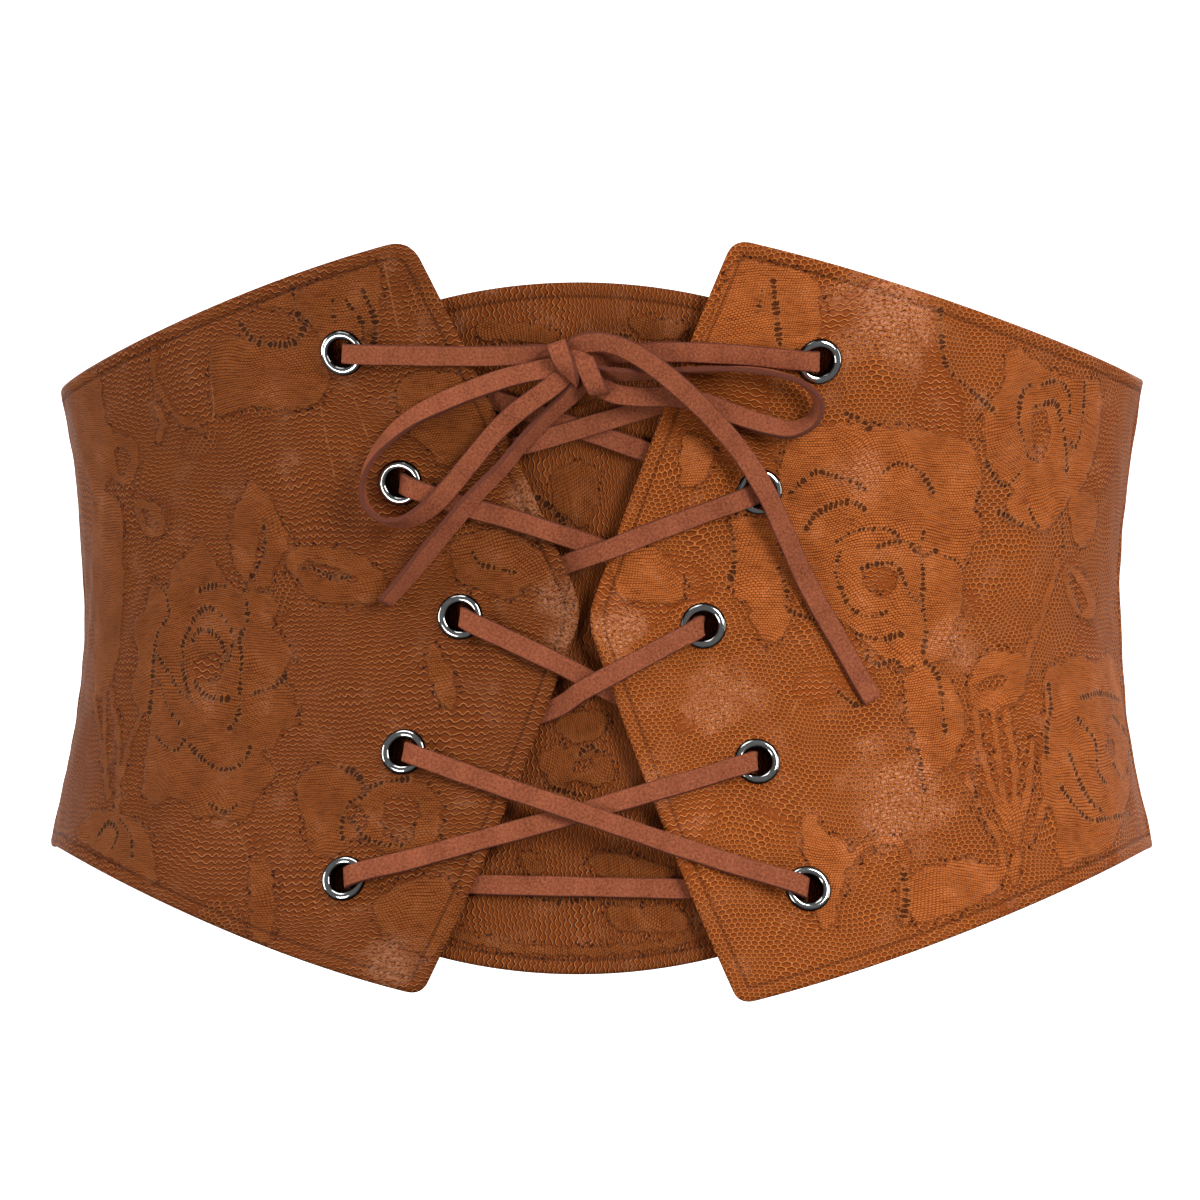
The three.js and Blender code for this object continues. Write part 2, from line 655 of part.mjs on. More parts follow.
function lacingGeometry() {
  const eyelets = LACING.map(({ panel, row }) => eyeletPlace(panel, row));
  const route = rolledRoute(KNOT_SPAN_RIGHT).reverse();
  LACING.forEach(({ inward, span }, i) => {
    const from = i ? lastSpanPoint(eyelets, i - 1) : KNOT_SPAN_RIGHT[0];
    const to = i + 1 < LACING.length ? spanPoint(eyelets, i, span[0]) : KNOT_SPAN_LEFT[0];
    route.push(...eyeletTurn(eyelets[i], from, to, inward));
    for (const row of span) route.push({ at: [...spanPoint(eyelets, i, row), levels[row[2]]] });
  });
  route.push(...rolledRoute(KNOT_SPAN_LEFT));
  route.forEach((spot, i) => {
    if (spot.facing) return;
    const before = route[Math.max(i - 1, 0)].at;
    const after = route[Math.min(i + 1, route.length - 1)].at;
    spot.facing = [after[0] - before[0], after[1] - before[1]];
  });
  return laceGeometry(withAcross(route));
}

function spanPoint(eyelets, i, [share, rise]) {
  const a = eyelets[i];
  const b = eyelets[i + 1];
  return [mix(a[0], b[0], share), mix(a[1], b[1], share) + rise];
}

const lastSpanPoint = (eyelets, i) => spanPoint(eyelets, i, LACING[i].span[LACING[i].span.length - 1]);

// Bow

const rolledRoute = (rows) => rows.map((row) => ({ at: row.slice(0, 3), roll: row[3] }));
const bowGeometry = (rows) => laceGeometry(withAcross(rolledRoute(rows)));

function knotGeometry() {
  const core = new THREE.SphereGeometry(1, 12, 8);
  core.scale(...KNOT_RADII);
  core.rotateZ(radians(KNOT_TURN));
  const { point, round, up, out } = placeOn(...KNOT_CENTRE);
  core.applyMatrix4(new THREE.Matrix4().makeBasis(round, up, out).setPosition(point));
  return toGeometry(toSolid(core).add(toSolid(bowGeometry(KNOT_FLAP))));
}

// Assembly

const materials = {
  leather: { color: 0x8a4a20, roughness: 0.5, metalness: 0 },
  lining: { color: 0x7c4520, roughness: 0.75, metalness: 0 },
  elastic: { color: 0x6b3a1c, roughness: 0.85, metalness: 0 },
  nickel: { color: 0xd0d2d4, roughness: 0.18, metalness: 1 },
  suede: { color: 0x9b553c, roughness: 0.9, metalness: 0 },
};

function piece(name, geometry, material) {
  const mesh = new THREE.Mesh(geometry, new THREE.MeshStandardMaterial(materials[material]));
  mesh.name = name;
  return mesh;
}

const belt = new THREE.Group();
for (const name of Object.keys(PANELS)) {
  const front = new THREE.Group();
  front.add(piece("front_panel_" + name, panelGeometry(name), "leather"));
  EYELET_ROWS.forEach((_, row) => {
    const eyelet = piece("eyelet_" + name + "_" + (row + 1), eyeletGeometry(), "nickel");
    const { point, out } = placeOn(...eyeletPlace(name, row), 0);
    eyelet.position.copy(point);
    eyelet.quaternion.setFromUnitVectors(new THREE.Vector3(0, 1, 0), out);
    front.add(eyelet);
  });
  belt.add(front);
}
belt.add(piece("modesty_panel", modestyGeometry(), "lining"));
belt.add(piece("back_panel", backGeometry(), "elastic"));

const lace = new THREE.Group();
lace.add(piece("lacing", lacingGeometry(), "suede"));
lace.add(piece("bow_knot", knotGeometry(), "suede"));
for (const [name, rows] of Object.entries(BOW)) lace.add(piece(name, bowGeometry(rows), "suede"));
belt.add(lace);

export default belt;
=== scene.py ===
# A laced corset belt, dressed over its CAD model: a lace overlay on leather, a flat lace and a bow.
# Pattern coordinates are millimetres, as in the CAD source: along is measured round the waist from the
# middle of the front, height up from the waist, and level out from the inside face of the front panels.
# Everything handed to Blender is in metres.

import json
import math

import bpy
import numpy as np
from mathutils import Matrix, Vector

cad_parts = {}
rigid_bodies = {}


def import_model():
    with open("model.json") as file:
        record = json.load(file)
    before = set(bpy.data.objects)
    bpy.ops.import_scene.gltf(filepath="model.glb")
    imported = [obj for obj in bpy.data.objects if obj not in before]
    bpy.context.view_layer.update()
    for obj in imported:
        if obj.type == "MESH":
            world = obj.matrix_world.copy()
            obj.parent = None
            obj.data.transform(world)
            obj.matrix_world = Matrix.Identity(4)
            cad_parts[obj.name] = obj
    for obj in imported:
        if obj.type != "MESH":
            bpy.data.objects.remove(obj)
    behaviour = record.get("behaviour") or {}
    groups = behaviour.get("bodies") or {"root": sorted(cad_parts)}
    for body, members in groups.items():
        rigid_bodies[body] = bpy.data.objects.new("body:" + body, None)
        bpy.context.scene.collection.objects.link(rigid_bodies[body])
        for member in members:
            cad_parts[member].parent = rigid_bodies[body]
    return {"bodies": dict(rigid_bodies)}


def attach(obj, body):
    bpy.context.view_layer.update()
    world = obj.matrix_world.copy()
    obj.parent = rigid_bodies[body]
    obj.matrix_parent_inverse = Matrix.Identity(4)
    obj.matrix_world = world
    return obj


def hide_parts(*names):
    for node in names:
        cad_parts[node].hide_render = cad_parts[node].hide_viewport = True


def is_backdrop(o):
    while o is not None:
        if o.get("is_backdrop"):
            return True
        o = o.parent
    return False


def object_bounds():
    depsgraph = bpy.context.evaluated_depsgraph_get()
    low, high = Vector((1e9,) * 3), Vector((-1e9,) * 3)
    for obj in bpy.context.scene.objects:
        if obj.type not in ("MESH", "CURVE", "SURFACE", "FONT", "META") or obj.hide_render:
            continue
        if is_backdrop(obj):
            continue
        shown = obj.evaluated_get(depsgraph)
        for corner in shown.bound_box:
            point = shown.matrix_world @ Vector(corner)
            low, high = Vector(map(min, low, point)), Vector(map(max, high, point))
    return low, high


MM = 0.001

# Waist loop
WAIST_WIDTH = 240
WAIST_DEPTH = 181
LOOP_POWER = 2.3
FLARE_TOP = 5.1
FLARE_BOTTOM = 6.9
FLARE_HEIGHT = 50
FLARE_SOFTNESS = 40
DEPTH_FLARE = 0.75
LOOP_SAMPLES = 1440
GAP = 0.35

# Front panels
PANEL_THICKNESS = 1.8
SIDE_SEAM = 160
TIP_OFFSET = 1.5
TIP_GAP = 0.7
TIP_ROUND = 5
PANELS = {
    "left": {
        "side": -1,
        "tip": 0.5,
        "top": {"spread": 34.6, "peak": 84.6, "round": 5, "seam": 53.1, "curve": 1.1},
        "bottom": {"spread": 30.8, "peak": -86.7, "round": 3.2, "seam": -55.5, "curve": 1.4},
    },
    "right": {
        "side": 1,
        "tip": -1.6,
        "top": {"spread": 32.4, "peak": 84.5, "round": 3.8, "seam": 54.7, "curve": 0.92},
        "bottom": {"spread": 32.5, "peak": -88.6, "round": 3.2, "seam": -55.4, "curve": 1},
    },
}

# Lace
LACE_WIDTH = 4.6
LACE_THICKNESS = 1.3
LACE_SAG = 0.5
EDGE_LIFT = 0.1
GAP_UPPER = 1.75
GAP_MIDDLE = 1.0
GAP_DROP = 0.25

# Eyelets: the rows from the top down, as shares of the pitch and of the inset from the centre edge
EYELET_PITCH = 30
EYELET_INSET = 27
EYELET_ROWS = [
    {"rise": 1.955, "left": 1.0, "right": 1.082},
    {"rise": 0.97, "left": 1.053, "right": 1.041},
    {"rise": -0.05, "left": 1.011, "right": 0.955},
    {"rise": -1.08, "left": 1.028, "right": 0.962},
    {"rise": -2.04, "left": 1.032, "right": 0.918},
]
BORE_ROOM = 0.5
BORE_SHIFT = 0.5
EYELET_WALL = 0.45
RIM_WIDTH = 2.15
RIM_HEIGHT = 0.95
BACK_RIM_HEIGHT = 0.4

# Modesty panel and back panel
MODESTY_THICKNESS = 1.5
MODESTY_TOP = 74.2
MODESTY_BOTTOM = -81.1
MODESTY_TOP_DROP = 20
MODESTY_BOTTOM_DROP = 22
MODESTY_STEP = 6
MODESTY_SEAT = 5
BACK_THICKNESS = 1.6
BACK_LAP = 12
BACK_MARGIN = 1.5

# The lacing from the right side of the knot to its left side: the panel and the row of each eyelet, whether
# the lace goes inward there, and the span to the next one as share of the way, rise and level
LACING = [
    ("right", 0, True, [(0.37, 0, "behind"), (0.485, 0, "behind_upper"), (0.645, 0, "behind_upper"),
                        (0.76, 0, "behind")]),
    ("left", 1, False, [(0.2, 1.5, "on_panel"), (0.38, 3.9, "on_panel"), (0.52, 5.3, "on_edge"),
                        (0.592, 5.8, "gap_lower"), (0.665, 6.2, "under_panel"), (0.8, 3.6, "behind")]),
    ("right", 2, False, [(0.16, -1.2, "on_panel"), (0.33, -2.5, "on_edge"), (0.41, -3.1, "gap_upper"),
                         (0.49, -4.1, "under_panel"), (0.75, -2.6, "behind")]),
    ("left", 3, False, [(0.15, 0, "on_panel"), (0.26, 0, "on_panel"), (0.357, 0, "cross_upper"),
                        (0.536, 0, "cross_upper"), (0.66, 0, "on_panel"), (0.85, 0, "on_panel")]),
    ("right", 4, True, [(0.25, 0, "behind"), (0.5, 0, "behind"), (0.75, 0, "behind")]),
    ("left", 4, False, [(0.15, 0, "on_panel"), (0.34, 0, "on_panel"), (0.475, 0, "cross_lower"),
                        (0.645, 0, "cross_lower"), (0.76, 0, "on_panel"), (0.88, 0, "on_panel")]),
    ("right", 3, True, [(0.25, 0, "behind"), (0.44, 0.1, "under_panel"), (0.54, 0.2, "gap_lower"),
                        (0.65, 0.4, "on_edge"), (0.83, 0.2, "on_panel")]),
    ("left", 2, True, [(0.2, 0.9, "behind"), (0.372, 1.7, "under_panel"), (0.425, 1.4, "gap_middle"),
                       (0.49, 1.1, "on_edge"), (0.62, 0.9, "on_panel"), (0.84, 0.3, "on_panel")]),
    ("right", 1, True, [(0.24, 0, "behind"), (0.44, 0, "behind"), (0.65, 0, "behind")]),
    ("left", 0, False, []),
]

# The two ends of the lacing, and the bow: along, height, level and roll in degrees
KNOT_SPAN_RIGHT = [(34, 58.6, 2.9, 0), (20, 59.2, 3.1, 0), (11, 58.8, 3.2, 10), (5.6, 58.1, 3.2, 15),
                   (2, 57.6, 3.4, 15)]
KNOT_SPAN_LEFT = [(-38, 58.6, 2.9, 0), (-22, 58.3, 2.9, 0), (-12, 58.5, 2.9, 10), (-5.2, 58.7, 3.0, 20),
                  (-1.8, 58.4, 3.3, 20)]
BOW = {
    "bow_loop_left": [
        (-1.5, 56.6, 4.6, 10), (-5.1, 55.9, 5.0, 10), (-14.5, 53.7, 5.4, 15), (-21.5, 51.2, 5.6, 20),
        (-29, 48.0, 5.3, 25), (-35.8, 44.4, 5.0, 35), (-41, 40.2, 5.0, 50), (-45, 35.4, 5.2, 65),
        (-47.2, 30.2, 5.4, 75), (-46.8, 25.0, 5.7, 82), (-43.4, 21.4, 6.0, 78), (-38.4, 20.8, 6.3, 62),
        (-33, 23.6, 6.2, 35), (-28.2, 28.4, 5.8, 15), (-23.2, 34.4, 5.6, 5), (-17.1, 41.8, 5.6, 0),
        (-12.2, 46.4, 6.1, 0), (-5.4, 51.6, 6.4, 0), (-2.2, 54.4, 5.4, 0), (1, 57, 4.2, 0)],
    "lace_tail_left": [
        (3.0, 54.6, 4.4, -30), (-0.4, 50.3, 4.8, -40), (-6.4, 44.6, 4.4, -50), (-11.4, 39.2, 4.2, -58),
        (-16.6, 32.8, 4.8, -58), (-22.0, 27.2, 6.0, -50), (-27.3, 20.8, 6.4, -45), (-32.6, 14.6, 5.2, -45),
        (-38, 8.2, 4.5, -55), (-43.4, 2.0, 4.4, -65)],
    "bow_loop_right": [
        (2.5, 55.2, 4.6, 40), (6.5, 54.4, 4.8, 50), (15.4, 54.4, 4.8, 62), (21.3, 54.9, 5.0, 72),
        (28.6, 55.6, 5.8, 80), (36, 55.6, 6.4, 88), (43.3, 54.4, 6.7, 90), (48.6, 52.0, 6.6, 88),
        (51.4, 48.2, 6.3, 82), (50.4, 44.2, 5.9, 66), (46.2, 41.9, 5.4, 45), (40.2, 43.1, 4.8, 25),
        (33.5, 45.4, 4.4, 12), (26.6, 48.0, 4.2, 5), (19.6, 49.2, 4.0, 5), (13.2, 49.2, 3.9, 5),
        (7.9, 50.0, 4.0, 5), (3.0, 52.6, 3.7, 5)],
    "lace_tail_right": [
        (-1.6, 59.6, 4.6, 14), (1.0, 61.2, 5.2, 12), (3.9, 61.8, 5.6, 10), (8.4, 61.2, 6.4, 8),
        (13.4, 58.8, 7.5, 5), (18.6, 54.9, 8.5, 3), (24.3, 49.6, 8.2, 0), (30.4, 43, 6.4, 0),
        (36.3, 35.6, 5.9, 0), (41.4, 27.2, 6.2, 0), (45.6, 18.4, 5.4, 2), (49.4, 10.4, 4.0, 4),
        (53.7, 2.2, 3.1, 4), (58.2, -5.8, 2.9, 2), (62.2, -13.2, 2.8, 0), (65.9, -20.3, 2.8, 0)],
}
KNOT_CENTRE = (0.6, 56, 4.6)
KNOT_RADII = (5.0, 3.7, 2.5)
KNOT_TURN = -38
# The knot's two turns, as places with the directions across the lace there
KNOT_WRAPS = [
    [((-3.6, 60.2, 3.6), (0.95, 0.32, 0)), ((-3.9, 61.2, 5.2), (0.95, 0.32, 0)),
     ((-3.7, 60.8, 6.9), (0.95, 0.32, 0)), ((-2.8, 58.6, 7.8), (0.93, 0.34, 0.15)),
     ((-1.7, 56.2, 8.0), (0.83, 0.3, 0.47)), ((-0.9, 54.2, 7.2), (0.5, 0.2, 0.84)),
     ((-0.7, 52.9, 5.4), (0.3, 0.1, 0.95))],
    [((1.4, 57.0, 4.4), (1, -0.05, 0)), ((1.5, 58.1, 5.8), (1, -0.05, 0)),
     ((1.9, 57.5, 7.3), (1, -0.05, 0)), ((3.0, 55.0, 8.0), (1, 0, 0)), ((4.2, 52.2, 8.0), (1, 0.05, 0)),
     ((5.0, 50.7, 7.2), (1, 0.08, 0)), ((5.1, 50.3, 5.7), (1, 0.08, 0)), ((4.8, 50.8, 4.3), (1, 0.08, 0))],
]

# Camera, backdrop and lights, in metres and watts; each light has its place, its size and its power
CAMERA_AZIMUTH = 3.5
CAMERA_DISTANCE = 2.4
CAMERA_HEIGHT = 0.0028
VIEW_WIDTH = 0.2826
SENSOR_WIDTH = 36
CAMERA_SHIFT = -0.0025
FLOOR_HEIGHT = -0.6
BACKDROP_BACK = 3.6
BACKDROP_BEND = 0.8
BACKDROP_TOP = 3.2
BACKDROP_SIDE = 3.4
BACKDROP_GLOW = 1.0
LIGHTS = {
    "key": ((1.6, -1.8, 0.9), (0.8, 1.4), 47),
    "fill": ((-1.2, -2.0, -0.8), (0.8, 0.9), 17),
    "sky": ((-0.6, -1.0, 2.0), (1.4, 1.0), 15),
    "left": ((-2.2, -0.4, 0.2), (0.8, 1.2), 24),
    "right": ((2.3, -0.2, 0.2), (0.8, 1.2), 10),
    "back": ((0.6, 2.6, 1.2), (1.4, 1.2), 30),
}
SURROUNDINGS = (0.9, 0.92, 0.95, 1)
SURROUNDINGS_STRENGTH = 0.14

# Grids: columns and rows of the cloth's faces, the close rows near their edges, and the lace's step
FRONT_GRID = (275, 300)
FRONT_BACK_GRID = (80, 80)
MODESTY_GRID = (200, 190)
MODESTY_BACK_GRID = (90, 60)
BACK_GRID = (300, 110)
BACK_BACK_GRID = (120, 30)
EDGE_STEPS = (0, 0.1, 0.25, 0.45, 0.7, 1.0)
LACE_STEP = 1.0
EYELET_SIDES = 96

# Relief of the cloth, and the seeds of its soft waves
PANEL_SEEDS = {"left": 9, "right": 31}
MODESTY_SEED = 5
BACK_SEED = 9
HOLE_RADIUS = 4.0
HEM_WIDTH = 3.1
HEM_CROWN = 0.22
HEM_CROWN_AT = 1.6
HEM_VALLEY = 0.3
MOTIF_RISE = 0.15

# Lace overlay: how far its chart's lines are felt, and the sizes of its patterns
FAR = 4.0
BAND_HALF = 1.1
ROW_SHIFT = 97.3
NET_WARP = 1.5
UPRIGHT_STRETCH = 1.22
HOLE_PITCH = 1.2
WAVE_PITCH = 1.2
WAVE_LENGTH = 1.9
WAVE_DEPTH = 0.25
HEX_WIDTH = 1.35
HEX_HEIGHT = 1.95
STITCH_LENGTH = 0.7
STITCH_PITCH = 0.56
RIB_PITCH = 1.3
CLOTH_GLOSS = 0.06

# Colours as they look on a screen
LEATHER_DARK = (124, 54, 14)
LEATHER_LIGHT = (160, 78, 22)
WAVE_THREAD = (242, 150, 82)
HEX_THREAD = (208, 122, 60)
CLOTH_DARK = (108, 46, 14)
CLOTH_LIGHT = (208, 116, 56)
# Painted highlight of the lamps on glossy leather
PAINTED_HIGHLIGHT = (228, 156, 118)
PALE_THREAD = (206, 126, 70)
# Painted shade: the leather seen in the holes, under the net's threads, beside the motifs and in the hem's
# valley
PAINTED_SHADE_COLOUR = (56, 22, 8)
SUEDE_DARK = (104, 50, 32)
SUEDE_LIGHT = (184, 106, 74)
SUEDE_EDGE = (104, 58, 46)
NICKEL_DARK = (196, 197, 196)
NICKEL_LIGHT = (228, 227, 224)
# Painted dark reflection on the eyelets' flanks
NICKEL_PAINTED_REFLECTION = (36, 32, 29)
ELASTIC_DARK = (92, 48, 24)
ELASTIC_LIGHT = (132, 74, 40)

# Charts of the lace, drawn in pattern coordinates: outlines of the woven motifs and of the openings
# in them, routes of narrow woven bands, rows of holes, and pale threads
CLOTH_LEFT = [
    # rose
    [(-92, 16), (-89, 16), (-86, 11), (-83, 7), (-80, 5), (-77, 5), (-72, 4), (-70, 1), (-71, -3), (-68, -7),
     (-66, -10), (-68, -14), (-70, -16), (-67, -17), (-65, -20), (-64, -25), (-67, -27), (-69, -31),
     (-72, -32), (-69, -35), (-68, -38), (-71, -42), (-73, -47), (-76, -48), (-81, -47), (-87, -47),
     (-90, -44), (-96, -43), (-99, -45), (-104, -42), (-105, -36), (-105, -29), (-106, -24), (-112, -21),
     (-114, -16), (-112, -11), (-114, -3), (-110, 1), (-108, 5), (-106, 7), (-101, 6), (-100, 10),
     (-95, 13)],
    # leaf
    [(-82, 19), (-80, 24), (-76, 30), (-72, 28), (-68, 20), (-67, 15), (-71, 10), (-72, 6), (-77, 5),
     (-79, 7), (-82, 13)],
    # top band
    [(-82, 61), (-74, 63), (-66, 61), (-58, 63), (-54, 59), (-56, 49), (-64, 46), (-73, 47), (-83, 46)],
    # top petals
    [(-71, 70), (-59, 74), (-48, 77), (-42, 79), (-41, 72), (-44, 64), (-49, 61), (-54, 59), (-58, 66),
     (-65, 69)],
    # side bud
    [(-138, 54), (-120, 56), (-119, 50), (-118, 43), (-109, 40), (-109, 34), (-114, 29), (-121, 31),
     (-129, 26), (-135, 31), (-138, 40)],
    # small leaf
    [(-112, 26), (-106, 26), (-101, 22), (-102, 18), (-107, 17), (-111, 21)],
    # side band
    [(-134, 26), (-118, 26), (-118, 12), (-120, -2), (-121, -11), (-126, -20), (-134, -16), (-138, 3)],
    # corner
    [(-127, -52), (-120, -46), (-105, -48), (-100, -51), (-95, -59), (-96, -63), (-106, -59),
     (-116, -56)],
    # low petals
    [(-62, -38), (-59, -35), (-52, -36), (-49, -38), (-46, -41), (-42, -39), (-36, -39), (-31, -41),
     (-29, -48), (-32, -55), (-38, -56), (-43, -54), (-47, -51), (-49, -54), (-53, -56), (-57, -55),
     (-60, -48), (-62, -43)],
    # low band
    [(-71, -56), (-67, -57), (-64, -65), (-64, -75), (-68, -74), (-70, -65)],
    # peak low
    [(-42, -66), (-38, -62), (-30, -60), (-25, -63), (-23, -68), (-25, -74), (-30, -78), (-37, -75),
     (-41, -71)],
    # lying leaf
    [(-67, 14), (-62, 15), (-55, 15), (-49, 13), (-45, 9), (-43, 6), (-46, 2), (-52, 2), (-58, 2), (-63, 4),
     (-65, 8), (-68, 10)],
    # thread leaf
    [(-34, -7), (-31, -9), (-28, -14), (-27, -19), (-28, -23), (-31, -20), (-34, -14)],
    # tip petals
    [(-29, 15), (-24, 18), (-17, 19), (-11, 16), (-6, 11), (-1, 3), (-4, 2), (-11, 6), (-15, 3),
     (-22, 5), (-27, 7)],
    # loop petals
    [(-39, 52), (-32, 55), (-23, 53), (-19, 48), (-18, 41), (-24, 37), (-29, 33), (-33, 37), (-38, 42)],
]
WINDOWS_LEFT = [
    # top
    [(-71, 66), (-67, 69), (-63, 69), (-60, 67), (-63, 64), (-68, 64)],
    # bud
    [(-118, 37), (-114, 38), (-112, 35), (-116, 32)],
    # leaf slit
    [(-73, 21), (-73, 15), (-75, 9), (-77, 7), (-75, 14)],
    # lying slit
    [(-65, 11), (-59, 11), (-51, 8), (-52, 7), (-60, 8)],
    # small slit
    [(-109, 24), (-104, 21), (-104, 19), (-107, 20)],
    # rose
    [(-93, -12), (-89, -10), (-85, -10), (-84, -13), (-86, -16), (-90, -16)],
    # low
    [(-42, -45), (-39, -42), (-35, -43), (-34, -47), (-36, -52), (-41, -51)],
    # low low
    [(-50, -46), (-48, -44), (-45, -47), (-47, -50)],
]
BANDS_LEFT = [
    # arc
    [(-98, 61), (-99, 53), (-95, 46), (-87, 42)],
    # oval
    [(-100, 47), (-99, 43), (-101, 40)],
    # stem1
    [(-132, -6), (-126, -20), (-121, -35)],
    # stem2
    [(-123, -18), (-116, -31), (-111, -48)],
    # stem3
    [(-105, -16), (-111, -29), (-113, -41)],
    # stem4
    [(-132, -20), (-122, -34), (-116, -43)],
]
ROWS_LEFT = [
    # rose, from its middle outwards
    [(-94, -7), (-93, -5), (-90, -4), (-86, -6), (-84, -9), (-83, -12)],
    [(-96, -12), (-97, -8), (-95, -4), (-93, -1), (-89, 1), (-85, -1), (-82, -5), (-82, -9), (-83, -13)],
    [(-97, -12), (-95, -16), (-93, -20)],
    [(-92, -16), (-89, -19), (-85, -20), (-82, -20)],
    [(-101, -1), (-105, -5), (-106, -10), (-106, -14), (-106, -19), (-106, -24)],
    [(-105, -10), (-101, -14), (-97, -18), (-92, -21)],
    [(-104, -16), (-100, -22), (-95, -26)],
    [(-102, -29), (-99, -31), (-95, -32), (-93, -29)],
    [(-91, -31), (-87, -34), (-83, -36), (-79, -36), (-76, -34), (-75, -31)],
    [(-79, 5), (-78, 1), (-78, -3), (-80, -6), (-79, -10), (-79, -15), (-79, -19), (-79, -24), (-81, -27)],
    [(-76, -19), (-73, -18), (-70, -17), (-68, -15)],
    [(-92, 5), (-88, 6), (-84, 6)],
    [(-104, 6), (-102, 4), (-101, 0)],
    # leaf slits
    [(-73, 20), (-73, 15), (-75, 11), (-77, 8), (-79, 6)],
    [(-65, 10), (-61, 10), (-57, 8), (-52, 8)],
    # top
    [(-74, 66), (-71, 62), (-66, 61), (-61, 62), (-58, 67)],
    [(-61, 74), (-60, 67)],
    # peak
    [(-45, 73), (-43, 66), (-44, 61)],
    [(-52, 71), (-52, 66)],
    [(-49, 71), (-46, 66), (-46, 62)],
    # low petals
    [(-53, -35), (-49, -37), (-46, -41), (-47, -42), (-50, -44), (-51, -49), (-50, -53)],
    [(-49, -47), (-46, -51), (-41, -53), (-36, -53)],
    [(-47, -41), (-43, -39), (-37, -38)],
    # tip
    [(-24, 14), (-22, 11), (-18, 10), (-14, 9)],
    # corner
    [(-117, -52), (-114, -49), (-110, -51), (-111, -55)],
    [(-110, -48), (-105, -52), (-103, -57)],
    [(-84, -44), (-79, -46), (-76, -44)],
]
THREADS_LEFT = [
    # long
    [(-41, 4), (-38, -1), (-35, -7)],
    # fall
    [(-68, -16), (-65, -19), (-63, -24)],
    [(-60, -24), (-58, -28), (-55, -33)],
    # fall2
    [(-71, -31), (-68, -36), (-65, -43)],
    # down
    [(-78, -46), (-74, -52), (-71, -58)],
    # drop1
    [(-57, 47), (-56, 39), (-55, 30)],
    # drop2
    [(-50, 51), (-48, 45), (-46, 37)],
    # side
    [(-83, 53), (-83, 48), (-84, 44)],
    # peak
    [(-40, 79), (-39, 71), (-38, 64)],
    # edge
    [(-31, -18), (-29, -26), (-27, -33)],
]
CLOTH_RIGHT = [
    # peak
    [(33, 79), (40, 79), (50, 76), (51, 71), (52, 64), (48, 60), (42, 59), (35, 59), (27, 60), (29, 69)],
    # rose
    [(46, 39), (49, 42), (60, 43), (71, 42), (83, 41), (90, 37), (93, 30), (91, 24), (94, 19), (90, 12),
     (89, 1), (86, -6), (87, -10), (80, -12), (74, -13), (68, -10), (64, -6), (59, -2), (53, 3), (50, 1),
     (47, 5), (44, 12), (43, 21), (44, 30)],
    # leaf
    [(74, -15), (79, -12), (84, -14), (88, -20), (88, -27), (84, -34), (79, -38), (75, -40), (75, -35),
     (74, -27)],
    # side rose
    [(96, 61), (103, 58), (111, 55), (121, 54), (128, 53), (130, 44), (129, 37), (126, 30), (121, 26),
     (115, 20), (110, 19), (102, 21), (100, 25), (102, 28), (97, 31), (93, 36), (91, 44), (92, 48),
     (95, 52)],
    # side bud
    [(121, 27), (129, 28), (134, 24), (133, 18), (128, 15), (123, 19)],
    # drop leaf
    [(120, 11), (127, 10), (135, 5), (137, 0), (131, -2), (126, 0), (122, 4)],
    # bud
    [(92, -13), (97, -9), (103, -9), (107, -10), (107, -16), (103, -21), (99, -22), (93, -23), (90, -20)],
    # low rose
    [(113, -14), (119, -12), (127, -10), (134, -12), (141, -10), (151, -12), (153, -20), (152, -30),
     (146, -41), (136, -49), (127, -55), (117, -57), (110, -59), (109, -54), (110, -48), (107, -41),
     (109, -32), (112, -22)],
    # low patch
    [(71, -60), (80, -57), (88, -57), (93, -59), (91, -63), (86, -66), (78, -69), (71, -71), (69, -65)],
    # eyelet patch
    [(48, -47), (51, -46), (53, -50), (58, -53), (57, -58), (55, -65), (52, -72), (49, -69), (49, -60),
     (48, -54)],
    # petal by the rose
    [(34, 21), (41, 22), (46, 20), (46, 6), (48, 2), (47, -4), (43, -7), (39, -3), (38, 2), (35, 4),
     (35, 14)],
    # by the tip
    [(8, 13), (16, 15), (22, 10), (24, 3), (16, 2), (9, 4)],
    # by the upper edge
    [(23, 40), (29, 39), (30, 35), (28, 30), (23, 29)],
]
WINDOWS_RIGHT = [
    # rose
    [(64, 9), (67, 11), (71, 10), (73, 7), (70, 4), (66, 5)],
    # side rose
    [(105, 44), (108, 46), (111, 43), (111, 37), (108, 35)],
    # drop slit
    [(123, 9), (127, 7), (132, 2), (129, 1), (125, 5)],
    # bud slit
    [(93, -17), (97, -15), (101, -15), (99, -17), (94, -18)],
    # low rose
    [(134, -31), (139, -30), (140, -32), (136, -34)],
]
BANDS_RIGHT = [
    # stem
    [(118, 12), (113, 0), (108, -10), (105, -18)],
    # fan1
    [(91, -23), (92, -34), (94, -43), (96, -50)],
    # fan2
    [(96, -23), (96, -34), (96, -43), (97, -50)],
    # fan3
    [(100, -23), (100, -36), (98, -50)],
    # fan4
    [(106, -30), (103, -41), (99, -50)],
    # fan5
    [(110, -40), (106, -46), (101, -52)],
    # fan6
    [(87, -38), (90, -46), (93, -52), (93, -59)],
    # base
    [(98, -51), (97, -56), (95, -62)],
    # arch
    [(57, -57), (62, -53), (68, -52), (70, -55), (69, -63), (68, -70)],
]
